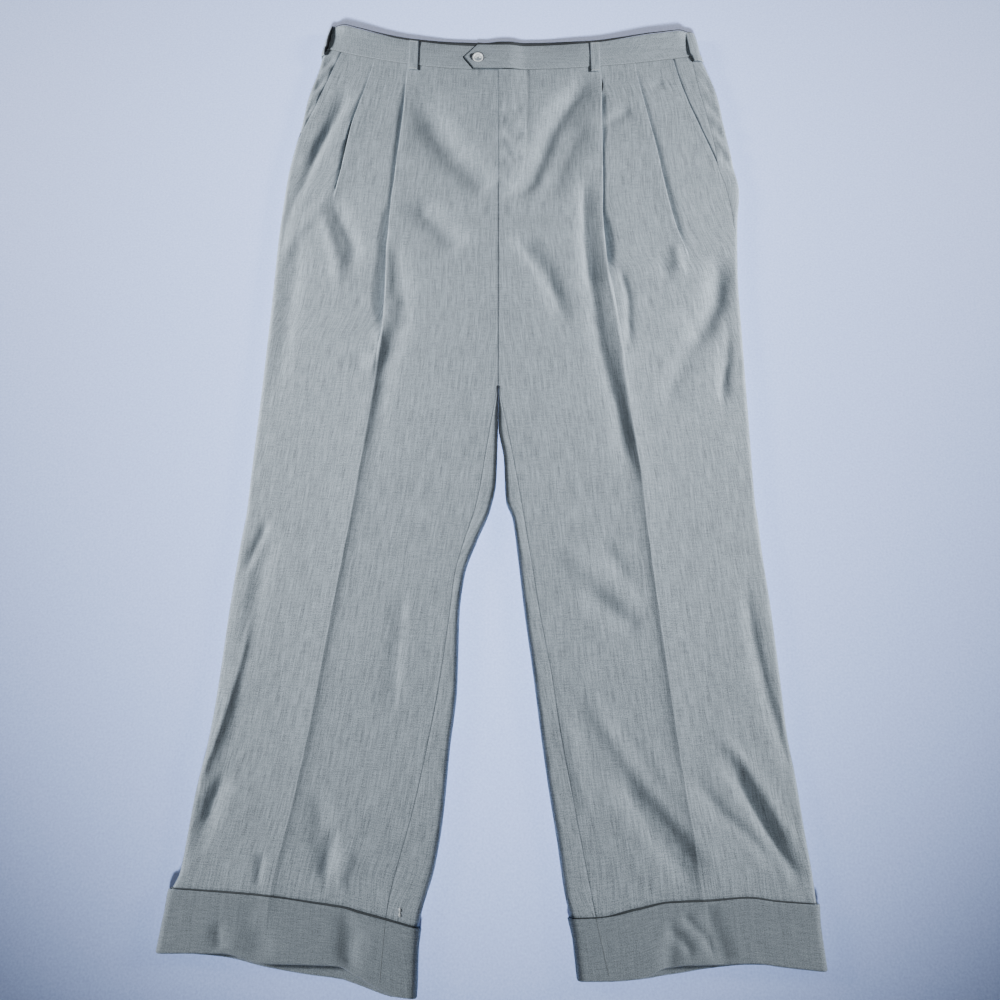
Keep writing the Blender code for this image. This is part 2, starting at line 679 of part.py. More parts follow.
def build_band(side, material):
    """Half of the waistband, folded double."""
    outer, inner = [], []
    for share in (0.0, TAB_MIDDLE / 2, TAB_MIDDLE, 0.72, 1.0):
        v = WAIST + SEAM / 2 + (BAND_DEPTH - SEAM / 2) * share
        line = band_line(side, v)
        normal = line_normals(line) * BAND_CLOTH / 2
        outer.append(place_moved(side, line, normal, v))
        inner.append(place_moved(side, line, -normal, v))
    return wall(f"waistband_{side.name}", np.array(outer), np.array(inner), material)


def build_loop(side, place_name, material):
    """A belt loop that stands off the band between its two sewn ends."""
    outer, inner = [], []
    top = WAIST + BAND_DEPTH + 1.0
    for share in np.linspace(0, 1, 8):
        v = LOOP_FOOT + (top - LOOP_FOOT) * share
        arch = LOOP_ARCH * smooth(share * 5) * smooth((1 - share) * 5)
        outside = side.leg.at("outer", v) + LOOP_CLEAR if v < WAIST else band_outer(side, v)
        wrap = band_wrap(side, v, outside - BAND_CLOTH / 2)
        flat = np.column_stack((np.array([0.0]), np.array([BAND_LEVEL])))
        line = np.vstack((flat, wrap))
        middle = side.loops[place_name]
        if place_name == "side":
            middle = line_lengths(line)[np.argmax(line[:, 0])] - middle
        strip = points_along(line, middle - LOOP_WIDTH / 2, middle + LOOP_WIDTH / 2, 3)
        normal = line_normals(strip)
        clear = BAND_CLOTH / 2 + LOOP_CLEAR + arch
        outer.append(place_moved(side, strip, normal * (clear + LOOP_CLOTH), v))
        inner.append(place_moved(side, strip, normal * clear, v))
    return wall(f"belt_loop_{place_name}_{side.name}", np.array(outer), np.array(inner), material)


def build_button(material):
    """A turned button with a rounded rim and a sunk centre."""
    base = BAND_LEVEL + BAND_CLOTH + BAND_CLOTH / 2 + 2 * SEAM + 0.1
    radius, height = BUTTON_RADIUS, BUTTON_HEIGHT
    profile = ((radius * 0.86, 0), (radius, height * 0.35), (radius, height * 0.7),
               (radius * 0.93, height), (radius * 0.8, height), (radius * 0.66, height * 0.68),
               (radius * 0.3, height * 0.6))
    angle = np.arange(BUTTON_SEGMENTS) * 2 * math.pi / BUTTON_SEGMENTS
    u, v = BUTTON_PLACE
    v += float(length_shift(LEFT, np.array(abs(u)), v, 1.0))
    rings = [np.column_stack((u + r * np.cos(angle), v + r * np.sin(angle), np.full(len(angle), base + z)))
             for r, z in profile]
    points = np.vstack(rings)
    faces = []
    for ring in range(len(profile) - 1):
        for j in range(BUTTON_SEGMENTS):
            k = (j + 1) % BUTTON_SEGMENTS
            a, b = ring * BUTTON_SEGMENTS, (ring + 1) * BUTTON_SEGMENTS
            faces.append((a + j, a + k, b + k, b + j))
    faces.append(tuple(range(BUTTON_SEGMENTS))[::-1])
    top = (len(profile) - 1) * BUTTON_SEGMENTS
    faces.append(tuple(range(top, top + BUTTON_SEGMENTS)))
    return solid("waist_button", points, faces, material)


def surface(name, colour, roughness):
    """A plain material."""
    material = bpy.data.materials.new(name)
    material.use_nodes = True
    shader = material.node_tree.nodes["Principled BSDF"]
    shader.inputs["Base Color"].default_value = colour
    shader.inputs["Roughness"].default_value = roughness
    shader.inputs["Metallic"].default_value = 0.0
    return material


def centre_on_floor(pieces):
    """Move the pieces so that the middle of their box is over the origin."""
    points = np.vstack([mesh_points(piece.data) for piece in pieces])
    low, high = points.min(axis=0), points.max(axis=0)
    shift = np.array([(low[0] + high[0]) / 2, (low[1] + high[1]) / 2, low[2]])
    for piece in pieces:
        moved = mesh_points(piece.data) - shift
        piece.data.vertices.foreach_set("co", moved.ravel())
        piece.data.update()


def mesh_points(mesh):
    """Points of a mesh as an array."""
    flat = np.empty(len(mesh.vertices) * 3)
    mesh.vertices.foreach_get("co", flat)
    return flat.reshape(-1, 3)


def main():
    """Build every piece of the trousers."""
    for item in list(bpy.data.objects):
        bpy.data.objects.remove(item, do_unlink=True)
    cloth = surface("grey_wool", GREY_CLOTH, 0.85)
    pearl = surface("button_pearl", BUTTON_COLOUR, 0.35)
    pieces = []
    for side in (LEFT, RIGHT):
        pieces.append(cloth_panel(f"front_{side.name}", side, STATIONS, Section.front_line, cloth))
        pieces.append(cloth_panel(f"back_{side.name}", side, STATIONS, Section.back_line, cloth))
        pieces.append(build_facing(side, cloth))
        pieces.append(build_cuff(side, cloth))
        pieces.append(build_band(side, cloth))
        pieces.append(build_loop(side, "front", cloth))
        pieces.append(build_loop(side, "side", cloth))
    pieces.append(build_button(pearl))
    centre_on_floor(pieces)


main()
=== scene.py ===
"""Pleated dress trousers laid flat on their back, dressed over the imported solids.

Each panel is a thin cloth shell worked out over a whole grid. u is the distance
out from the centre seam, v the length up from the hem and z the height above
the surface that the trousers lie on. Shapes are worked out in millimetres and
put into the meshes in metres. Left and right are the wearer's.
"""

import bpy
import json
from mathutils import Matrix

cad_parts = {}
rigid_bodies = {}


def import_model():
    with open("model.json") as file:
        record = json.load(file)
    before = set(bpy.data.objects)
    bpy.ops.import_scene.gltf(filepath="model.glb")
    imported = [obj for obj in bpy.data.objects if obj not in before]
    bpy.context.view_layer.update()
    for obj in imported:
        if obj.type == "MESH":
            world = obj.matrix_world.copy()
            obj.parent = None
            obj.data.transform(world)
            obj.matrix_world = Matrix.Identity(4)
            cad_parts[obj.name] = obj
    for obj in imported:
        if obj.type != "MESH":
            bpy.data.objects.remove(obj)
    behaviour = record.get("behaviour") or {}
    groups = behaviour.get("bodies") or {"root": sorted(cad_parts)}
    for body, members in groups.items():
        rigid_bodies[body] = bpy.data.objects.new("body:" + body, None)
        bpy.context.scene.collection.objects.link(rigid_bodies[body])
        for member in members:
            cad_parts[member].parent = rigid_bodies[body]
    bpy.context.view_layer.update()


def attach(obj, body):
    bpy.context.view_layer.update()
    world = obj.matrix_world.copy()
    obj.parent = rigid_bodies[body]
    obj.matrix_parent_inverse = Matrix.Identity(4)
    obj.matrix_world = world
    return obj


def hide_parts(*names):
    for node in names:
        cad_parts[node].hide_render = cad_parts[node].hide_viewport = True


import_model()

import json
import logging
import math
from dataclasses import dataclass
from enum import Enum
from typing import Any, NamedTuple, Sequence

import bpy
import numpy as np

LOG = logging.getLogger("trousers")
MM = 0.001

# Sizes in millimetres: cloth and seams
CLOTH = 1.2
HALF = CLOTH / 2
LINING = 0.3
BAND_CLOTH = 2.4
LAYER = 1.5
SEAM = 0.06

# Lengths up the trousers
CUFF_DEPTH = 54.0
CUFF_SPREAD = 26.0
LEG_END = 2.0
CROTCH = 591.0
SEAT_CURVE = 70.0
FLY_END = 820.0
FLY_TAPER = 35.0
WAIST = 1030.0
BAND_DEPTH = 38.0
WAIST_CURVE = 180.0
HEM_CURVE = 200.0
CREASE_FADE = 0.25

# Cross-sections
ROLL = 4.5
LEAST_ROLL = 1.0
SEAM_INSET = 1.0
FLY_OVERLAP = 8.0
FLY_STEP = 1.6
POCKET_TUCK = 8.0
POCKET_EASE = 2.4
POCKET_DROP = 1.5
FOLD_GAP = 0.2
WAIST_FLAT = 12.0
BAND_LEVEL = 12.0
BAND_ROLL = 7.0

# Middle of the solids' box, seen from the crotch end of the centre seam
CENTRE = np.array([6.423, -550.800, 0.0])
UP = np.array([0.0, 1.0, 0.0])


def smooth(t: Any) -> Any:
    """Ease from 0 to 1 as t does, by 3tt - 2ttt."""
    t = np.clip(t, 0, 1)
    return t * t * (3 - 2 * t)


class Table:
    """Rows of named sizes, read at any length by a cubic curve that never overshoots."""

    def __init__(self, text: str) -> None:
        """Read the names of the columns and then the rows.

        Args:
            text: the table, in order of its first column, the length it is read at.
        """
        names, *rows = text.strip().splitlines()
        data = np.array([row.split() for row in rows], dtype=float)
        self.at_length = data[:, 0]
        self.columns = dict(zip(names.split()[1:], data[:, 1:].T))

    def at(self, name: str, v: Any) -> np.ndarray:
        """Read one column, by Hermite cubics whose tangents are harmonic means of the slopes.

        Args:
            name: the column.
            v: the lengths to read it at.

        Returns:
            The column's values there, in v's shape.
        """
        values, knots = self.columns[name], self.at_length
        step = np.diff(knots)
        slope = np.diff(values) / step
        tangent = np.zeros(len(values))
        turning = slope[:-1] * slope[1:] > 0
        before, after = slope[:-1][turning], slope[1:][turning]
        tangent[1:-1][turning] = 2 * before * after / (before + after)
        tangent[0], tangent[-1] = slope[0], slope[-1]
        v = np.clip(v, knots[0], knots[-1])
        i = np.clip(np.searchsorted(knots, v) - 1, 0, len(step) - 1)
        t = (v - knots[i]) / step[i]
        start = (1 + 2 * t) * (1 - t) ** 2 * values[i] + t * (1 - t) ** 2 * step[i] * tangent[i]
        end = t * t * (3 - 2 * t) * values[i + 1] - t * t * (1 - t) * step[i] * tangent[i + 1]
        return start + end

    def straight(self, name: str, v: Any) -> np.ndarray:
        """Read one column by straight lines from row to row."""
        return np.interp(v, self.at_length, self.columns[name])


LEFT_LEG = Table("""
    v outer inner inseam side_seam pocket level
    0 291.5 71.5 99 400 400 10.6
    50 289.5 66.5 89 400 400 10.6
    73 289 61 85 400 400 10.4
    119 286 55 77 400 400 10.4
    176 283 47 68 400 400 10.4
    225 279 41 60 400 400 10.5
    277 278 35 53 400 400 10.6
    346 276 26 41 400 400 10.8
    401 273 20 33 400 400 11.0
    440 272 15 27 400 400 11.0
    460 271 8 24 400 400 11.0
    507 272 6 16 400 400 11.0
    545 273 0.15 9 400 400 11.0
    591 274 0.15 1.6 400 400 11.0
    676 276 0.15 1.6 400 400 11.0
    718 277 0.15 1.6 290 400 11.0
    761 280 0.15 1.6 279 400 11.0
    805 284 0.15 1.6 278 400 11.0
    853 290 0.15 1.6 273 276 11.2
    883 286 0.15 1.6 266 266 11.3
    904 284 0.15 1.6 265 259 11.4
    933 280 0.15 1.6 261 248.5 11.4
    971 276 0.15 1.6 254 235.5 11.4
    1004 267 0.15 1.6 249 227 11.5
    1030 258.5 0.15 1.6 246 222.5 11.5
""")
RIGHT_LEG = Table("""
    v outer inner inseam side_seam pocket level
    0 304.5 72.5 104 400 400 10.6
    50 298.5 72.0 101 400 400 10.6
    67 292 69 99 400 400 10.4
    105 289 58 91 400 400 10.4
    150 286 51 80 400 400 10.4
    210 279 46 68 400 400 10.5
    267 275 40 58 400 400 10.6
    336 272 39 49 400 400 10.8
    380 269.5 34 44 400 400 11.0
    415 267 22 35 400 400 11.0
    450 264 8 24 400 400 11.0
    480 263.5 2 18 400 400 11.0
    507 263 1 14 400 400 11.0
    545 262 0.15 8 400 400 11.0
    591 261 0.15 1.6 400 400 11.0
    693 259.5 0.15 1.6 400 400 11.0
    779 259 0.15 1.6 400 400 11.0
    823 257.5 0.15 1.6 400 400 11.0
    868 255 0.15 1.6 400 400 11.2
    908 249 0.15 1.6 400 250 11.4
    930 244 0.15 1.6 400 238.5 11.4
    960 240 0.15 1.6 400 225.5 11.4
    980 235 0.15 1.6 400 217.5 11.4
    1000 229 0.15 1.6 400 210.5 11.5
    1030 224.5 0.15 1.6 400 200.5 11.5
""")

LEFT_MAIN_PLEAT = Table("""
    v fold bend turn tuck lift fall_in foot fall_out
    0 188 8 3 2 0.4 8 0.3 20
    60 185.5 7 3 2 1.1 6 0.9 20
    155 177 6 3 2 1.9 5.5 1.7 24
    253 169 6 3 2 2.4 5 2.2 26
    349 161 6 3 2 2.6 5 2.4 26
    430 155 6 3 2 2.5 5.5 2.3 24
    482 152 6 3 2 2.4 7 2.2 24
    592 141 6 4 2 2.8 13 2.2 24
    633 138 6 4 2 3.2 15 2.2 20
    680 133.2 6 5 2 3.4 16 1.8 16
    695 131.6 5 8 1.8 3.4 16 1.4 14
    715 129.4 3 25 1.5 3.2 16 0.6 10
    730 127.8 2 60 1.2 3.0 16 0 8
    742 126.7 1.4 110 1.2 2.6 16 -0.6 6
    750 126.2 1.0 140 2 2.4 16 -2.4 8
    758 125.7 0.8 155 3 2.2 16 -3.9 9.3
    784 124.5 0.7 165 4 2.0 18 -4.3 11
    806 123.6 0.65 168 5 1.8 20 -3.4 8.7
    818 123.6 0.6 170 6 1.6 20 -2.1 3
    848 124.8 0.6 172 8 1.5 22 -2.0 2.2
    877 125.7 0.6 172 8 1.4 22 -2.2 3.4
    905 126.5 0.6 172 8 1.4 22 -2.1 2.6
    922 127 0.6 172 8 1.4 22 -2.2 4.4
    941 127.4 0.6 172 8 1.4 22 -2.5 6
    963 128 0.6 172 8 1.3 22 -2.5 6
    984 128.9 0.6 174 9 1.2 22 -2.4 5.6
    989 129 0.6 175 10 1.1 22 -0.3 3
    996 129.3 0.6 176 11 1.0 22 -0.3 2
    1002 129.4 0.6 176 12 1.0 22 -2.2 1.8
    1009 129.5 0.6 176 12 0.6 22 -0.2 2
    1030 129 0.6 176 12 0.3 22 -0.1 3
""")
RIGHT_MAIN_PLEAT = Table("""
    v fold bend turn tuck lift fall_in foot fall_out
    0 209 8 3 2 0.4 8 0.3 20
    60 206 7 3 2 1.3 5 1.1 20
    120 196 6 3 2 1.7 4.5 1.5 24
    231 181 6 3 2 2.1 4.5 1.9 26
    335 168 6 3 2 2.3 4.5 2.1 26
    447 153 6 3 2 2.6 5 2.4 24
    525 144 6 4 2 2.8 6.5 2.5 24
    600 136 4 8 1.5 2.6 8 2.2 20
    640 133 2.2 50 1.2 2.2 14 0.8 12
    656 131.4 1.5 100 1.2 2.2 16 0 8
    666 130.4 1.0 140 2 2.2 16 -1.1 6
    680 129.9 0.8 155 3 2.0 16 -3.6 11
    698 129.5 0.75 162 4 1.9 18 -4.8 14.5
    736 129.8 0.7 165 5 1.8 20 -4.3 13
    765 130.2 0.7 168 6 1.6 20 -3.9 11
    795 128.8 0.65 170 7 1.5 20 -3.9 11
    814 128.4 0.6 172 8 1.4 20 -3.5 9.5
    826 127.7 0.6 172 8 1.4 20 -2.1 4.5
    834 127.4 0.6 172 8 1.4 20 -2.0 4.2
    865 124.8 0.6 172 8 1.4 20 -2.6 5.5
    898 122.6 0.6 172 8 1.4 20 -2.8 5.8
    918 120.8 0.6 172 8 1.4 20 -3.0 6.0
    947 118.7 0.6 172 9 1.3 20 -3.3 6.6
    975 117.2 0.6 174 10 1.1 20 -2.2 4
    990 116.6 0.6 175 11 0.8 22 -1.5 3
    1006 115.9 0.6 176 12 0.6 22 -0.5 2
    1030 115 0.6 176 12 0.3 22 -0.1 3
""")
LEFT_SIDE_PLEAT = Table("""
    v fold bend turn tuck lift fall_in foot fall_out
    0 240 10 1 1 0 10 0 10
    600 226 10 1 1 0 10 0 10
    740 222 10 1 1 0 10 0 10
    758 220 4 20 1 0.4 10 0.2 10
    768 218 1.6 90 1.2 1.0 12 -0.2 4
    782 213.5 1.0 140 2 1.3 14 -1.7 3.5
    800 209 0.75 160 3 1.5 16 -3.1 5.8
    836 202.5 0.7 166 4 1.5 16 -3.3 6
    871 197.6 0.65 170 6 1.4 16 -3.2 5.8
    905 193 0.6 172 8 1.3 16 -2.9 5
    945 186 0.6 172 8 1.2 16 -2.2 4
    974 181 0.6 174 9 1.1 18 -2.1 3
    1005 175.8 0.6 175 11 0.8 20 -1.3 1.6
    1016 174.2 0.6 176 12 0.5 22 -0.2 2
    1030 173 0.6 176 12 0.3 22 -0.1 3
""")
RIGHT_SIDE_PLEAT = Table("""
    v fold bend turn tuck lift fall_in foot fall_out
    0 255 10 1 1 0 10 0 10
    700 206 10 1 1 0 10 0 10
    826 197 10 1 1 0 10 0 10
    840 195.5 4 20 1 0.4 10 0.2 10
    850 194.3 1.6 90 1.2 1.0 12 -0.6 2
    862 192.5 0.9 150 2 1.4 14 -2.4 1.8
    875 190.2 0.7 165 4 1.5 14 -3.6 2.4
    896 187 0.65 170 5 1.6 14 -4.8 3.2
    915 184.1 0.65 170 6 1.6 14 -5.1 3.6
    934 180.8 0.6 170 6 1.5 14 -4.2 2.8
    960 174 0.6 172 8 1.3 16 -3.3 2.4
    982 167.5 0.6 174 9 1.1 18 -2.1 1.8
    1009 161.4 0.6 175 11 0.7 20 -0.6 1.4
    1030 157 0.6 176 12 0.3 22 -0.1 3
""")

LEFT_HEM = Table("""
    u front back top
    65 15 14 10.5
    92 15 14 11.5
    126 17 14.5 18
    153 27 17 23.5
    190 28 23 25
    226 29 26 27.5
    254 26 25 24.5
    295 22 22 22
""")
RIGHT_HEM = Table("""
    u front back top
    68 1 0 1.5
    87 3 0 6.5
    124 19 9 15.5
    140 27 13 19.5
    170 28 17 24
    208 29 24 29
    246 37 32 32
    306 37 37 36
""")


# Radii of the dark cord along each cuff's top edge, by u: painted shade in the gap between the cuff and the
# leg.
LEFT_CUFF_SHADE = Table("""
    u radius
    60 0.575
    95 0.4025
    120 1.15
    150 0.69
    180 1.265
    215 0.69
    240 0.92
    290 0.46
""")
RIGHT_CUFF_SHADE = Table("""
    u radius
    65 0.575
    100 1.035
    140 1.15
    180 0.69
    240 1.035
    300 0.575
""")
# Radii of the near-black cord of painted shade behind each band's top edge, by u.
LEFT_BAND_SHADE = Table("""
    u radius
    -28 1.6
    -18 1.0
    -12 1.3
    0 2.7
    40 2.8
    90 2.3
    120 1.6
    170 0.8
    245 0.4
""")
RIGHT_BAND_SHADE = Table("""
    u radius
    26 2.8
    45 2.8
    70 2.1
    100 1.6
    130 1.2
    160 0.7
    216 0.3
""")


class Crease(NamedTuple):
    """A soft trough (height below zero) or ridge laid along a path in u and v."""

    inner: float
    outer: float
    height: float
    power: float
    path: tuple[tuple[float, ...], ...]


def laid(text: str) -> tuple[Crease, ...]:
    """Read creases, one on each line.

    Args:
        text: the widths towards the centre and away from it, the height and the power
            of each crease, and after a colon the u and v of each point of its path.

    Returns:
        The creases.
    """
    creases = []
    for line in text.strip().splitlines():
        sizes, path = line.split(":")
        points = tuple(tuple(map(float, point.split())) for point in path.split(","))
        creases.append(Crease(*map(float, sizes.split()), points))
    return tuple(creases)


LEFT_CREASES = laid("""
    17 17 -3.2 2: 130 1012, 95 967, 69 921, 50 870
    7 7 -1.6 2: 18 785, 48 737, 72 696
    9 9 -1.7 2: 101 828, 107 715, 115 642, 130 571, 134 520, 148 462
    10 10 -3.1 2: 253 770, 251 698, 233 659, 212 641
    7 7 -2.2 2: 251 650, 248 570
    11 11 -2.8 2: 112 190, 150 130, 187 70
    10 10 -2.8 2: 214 210, 243 139, 272 70
    11 11 1.9 2: 132 230, 172 150, 218 75
    8 8 -2.5 2: 185 56, 205 -5
    8 8 -2.2 2: 158 34, 150 -5
    13 11 -5.8 2: 126 1021, 103 1001, 81 970, 61 934, 49 893, 40 864, 24 847, 4 834
    13 13 -3 2: 108 952, 90 915, 72 875, 55 827
    10 11 -3.8 2: 6 781, 36 768, 56 737, 68 695, 79 659
    7 7 -2.5 2: 129 942, 166 962
    6 18 -5.8 1.3: 103 870, 102 835, 101 785, 103 740, 107 700
    11 7 -2.3 1.5: 101 770, 109 695, 113 639, 124 585, 133 555, 138 517, 152 468
    9 6 1.5 1.3: 134 676, 137 618, 141 569, 151 501, 158 443
    4 5 -2.8 2: 139 745, 148 703, 146 626
    13 14 -3.8 2: 202 690, 224 668, 242 688, 256 729, 256 764
    7 7 2.8 2: 206 775, 211 729
    8 8 -1.7 2: 188 756, 195 719
    11 11 -1.9 2: 232 665, 211 632, 191 589, 185 559
    4 5 -1.5 2: 259 690, 256 622, 246 591, 247 556
    12 12 2.8 2: 60 405, 107 373, 147 336
    10 10 -3.1 2: 81 366, 119 339, 144 321
    8 8 -1.9 2: 103 420, 135 371
    9 9 2.5 2: 78 280, 104 229, 142 163, 184 102, 211 69
    8 8 -2.8 2: 108 189, 134 135, 158 93, 185 62
    7 7 -2.8 2: 180 183, 207 137, 243 98, 262 75
    7 7 2.8 2: 204 231, 237 184, 259 138, 278 95
    5.5 5.5 -2.8 2: 215 195, 240 137, 262 96, 280 67
    7 6 -3.1 2: 249 395, 255 311, 263 257, 273 214, 281 160
    8 8 1.6 2: 60 255, 73 198, 86 140
    4 4 -2.8 1.6: 164 44, 172 37, 186 23, 194 1
    4 5 -2.5 2: 149 36, 165 22, 174 8
    5 5 -1.6 2: 190 990, 209 997
    3.5 3.5 -2.2 2: 255 992, 263 987, 271 976
    3.5 3.5 1.6 2: 257 976, 266 969, 275 958
    3.5 3.5 -2.4 2: 260 960, 270 951, 279 938
    3.5 3.5 1.7 2: 262 944, 272 935, 281 922
    3.5 3.5 -2.4 2: 264 930, 275 920, 284 906
    3.5 3.5 1.6 2: 267 913, 277 903, 286 889
    3.5 3.5 -2.2 2: 270 898, 279 886, 288 870
    4 5 -1.6 2: 3 972, 16 966, 31 969
    4 5 -1.9 2: 3 936, 17 927, 32 930
    4 5 -1.9 2: 3 905, 17 894, 31 897
    4 5 -1.7 2: 3 872, 14 862, 26 868
    5 5 1.2 2: 5 952, 18 946, 30 950
    5 5 1.2 2: 5 920, 18 911, 30 914
    2.4 2.8 -0.75 2: 36.6 1042, 36.5 1036, 36.3 1026, 35.6 943, 34.8 905, 32 880, \
        26 862, 16.5 845, 8 835, 0 829
""")
RIGHT_CREASES = laid("""
    8 8 -2.5 2: 186 986, 207 936, 226 880
    14 14 -0.9 2: 200 841, 183 803, 171 780, 170 735
    10 9 -2.5 2: 117 790, 107 698, 112 647, 125 600, 140 470
    22 22 -1.6 2: 92 950, 45 890
    5 5 -1.5 2: 196 951, 221 908, 231 867, 238 830
    5 6 -1.3 2: 226 888, 243 833, 252 788, 256 745
    7 7 1.5 2: 190 864, 217 817, 240 780, 253 743
    10 10 -1.9 2: 230 450, 250 330, 262 250
    9 9 1.7 2: 250 420, 265 250, 275 150
    9 9 -2.2 2: 170 165, 158 72
    9 9 -2.5 2: 262 170, 278 82
    8 8 -1.8 2: 136 58, 133 -5
    13 13 -1.3 2: 222 58, 215 -5
    5 6 -2.2 2: 186 976, 202 940, 221 900, 231 862
    9 7 -2.6 2: 201 841, 183 803, 169 771, 169 731
    7 7 2.5 2: 215 827, 198 785, 186 748, 184 711
    19 19 -5.6 2: 108 997, 86 953, 60 911, 38 882, 16 860, 4 850
    15 15 -4.2 2: 103 834, 69 799, 40 762
    8 8 -2 2: 121 778, 119 735, 119 690
    7 8 -1.6 2: 116 672, 124 630, 136 590
    6 6 -1.2 2: 154 634, 155 605
    5 5 1.5 2: 137 665, 132 639, 143 602
    4 9 3.1 1.4: 246 350, 251 303, 261 250, 276 184, 280 155
    8 6 -3 2: 257 180, 268 144, 273 110
    4 5 -2.5 2: 238 440, 249 410, 259 380
    5 10 -1.6 2: 95 373, 99 303, 103 236
    6 6 -3.1 2: 150 127, 160 69
    6 6 2.2 2: 134 106, 147 66
    4 5 -2.3 2: 216 94, 219 59
    8 10 -2 2: 122 49, 131 21, 130 6
    6 6 -2.3 2: 253 28, 246 2
    8 10 -1.5 2: 211 31, 207 5
    9 12 -2.5 2: 233 792, 237 698, 244 573
    3.5 3.5 -2 2: 207 1018, 215 1013, 223 1004
    3.5 3.5 1.6 2: 211 1004, 219 998, 227 989
    3.5 3.5 -2.2 2: 216 990, 224 983, 232 972
    3.5 3.5 1.6 2: 222 974, 229 966, 236 955
    3.5 3.5 -2 2: 227 960, 234 951, 240 938
""")


@dataclass(frozen=True)
class Side:
    """One half of the trousers, with the tables that shape it."""

    name: str
    sign: int
    leg: Table
    pleats: tuple[Table, Table]
    creases: tuple[Crease, ...]
    hem: Table
    # Radii of the cuff's cord of painted shade.
    cuff_gap: Table
    # Radii of the band's cord of painted shade behind its top edge.
    lining_edge: Table
    waist_rise: float
    front_loop: float
    side_loop: float
    band_top: float

    @property
    def half_waist(self) -> float:
        """Distance from the centre to the side edge at the waist."""
        return float(self.leg.columns["outer"][-1])

    @property
    def pocket_end(self) -> float:
        """Length where the slanted pocket mouth ends."""
        return float(self.leg.at_length[np.argmax(self.leg.columns["pocket"] < 300)])


LEFT = Side("left", 1, LEFT_LEG, (LEFT_MAIN_PLEAT, LEFT_SIDE_PLEAT), LEFT_CREASES, LEFT_HEM,
            LEFT_CUFF_SHADE, LEFT_BAND_SHADE, waist_rise=24.0, front_loop=123.0, side_loop=8.5, band_top=253.0)
RIGHT = Side("right", -1, RIGHT_LEG, (RIGHT_MAIN_PLEAT, RIGHT_SIDE_PLEAT), RIGHT_CREASES, RIGHT_HEM,
             RIGHT_CUFF_SHADE, RIGHT_BAND_SHADE, waist_rise=36.0, front_loop=108.0, side_loop=0.5, band_top=218.0)


def crease_relief(creases: Sequence[Crease], u: np.ndarray, v: np.ndarray) -> np.ndarray:
    """Height that creases add.

    Across its path a crease is height * exp(-(distance / width) ** power), with one
    width towards the centre and one away from it. It fades over a quarter of its
    spans at both ends.

    Args:
        creases: the troughs and ridges.
        u: distances out from the centre.
        v: lengths up from the hem.

    Returns:
        The added height, in the shape of u and v together.
    """
    u, v = np.broadcast_arrays(u, v)
    total = np.zeros(u.shape)
    for crease in creases:
        nearest, along = np.full(u.shape, 1e9), np.zeros(u.shape)
        across = np.zeros(u.shape)
        spans = len(crease.path) - 1
        for k, ((u0, v0), (u1, v1)) in enumerate(zip(crease.path[:-1], crease.path[1:])):
            du, dv = u1 - u0, v1 - v0
            t = np.clip(((u - u0) * du + (v - v0) * dv) / (du * du + dv * dv), 0, 1)
            away = np.hypot(u - u0 - t * du, v - v0 - t * dv)
            closer = away < nearest
            along = np.where(closer, (k + t) / spans, along)
            across = np.where(closer, u - u0 - t * du, across)
            nearest = np.minimum(away, nearest)
        width = np.where(across < 0, crease.inner, crease.outer)
        fade = smooth(along / CREASE_FADE) * smooth((1 - along) / CREASE_FADE)
        total = total + crease.height * fade * np.exp(-(nearest / width) ** crease.power)
    return total


def rim(distance: np.ndarray, radius: Any, least: float = 0.2) -> np.ndarray:
    """Share of a height near an edge: a quarter circle from the least up to 1."""
    q = np.clip(1 - distance / radius, 0, 1)
    return least + (1 - least) * np.sqrt(1 - q * q)


def length_shift(side: Side, u: np.ndarray, v: np.ndarray, upper: np.ndarray) -> np.ndarray:
    """How far cloth lies up the trousers because the hem and the waist are not straight.

    Args:
        side: the half that the cloth is on.
        u: distances out from the centre.
        v: lengths up from the hem.
        upper: 0 on the lower layer and 1 on the upper one.

    Returns:
        The shift along the trousers.
    """
    front, back = side.hem.at("front", u), side.hem.at("back", u)
    hem = back + (front - back) * upper
    hem = hem + (side.hem.at("top", u) - hem) * np.clip(v / CUFF_DEPTH, 0, 1)
    near_hem = 1 - smooth((v - CUFF_DEPTH - 6) / HEM_CURVE)
    inside = np.minimum(np.abs(u), side.half_waist - WAIST_FLAT)
    near_waist = smooth((v - WAIST + WAIST_CURVE) / WAIST_CURVE)
    return hem * near_hem + side.waist_rise * (inside / side.half_waist) ** 2 * near_waist


def placed(side: Side, u: Any, v: Any, z: Any, upper: Any = 1.0) -> np.ndarray:
    """Place points of one half in space.

    Args:
        side: the half.
        u: distances out from the centre.
        v: lengths up from the hem.
        z: heights.
        upper: 0 on the lower layer and 1 on the upper one.

    Returns:
        The points, in millimetres.
    """
    u, v, z = np.broadcast_arrays(u, v, z)
    return np.stack((side.sign * u, v + length_shift(side, u, v, upper), z), axis=-1) + CENTRE


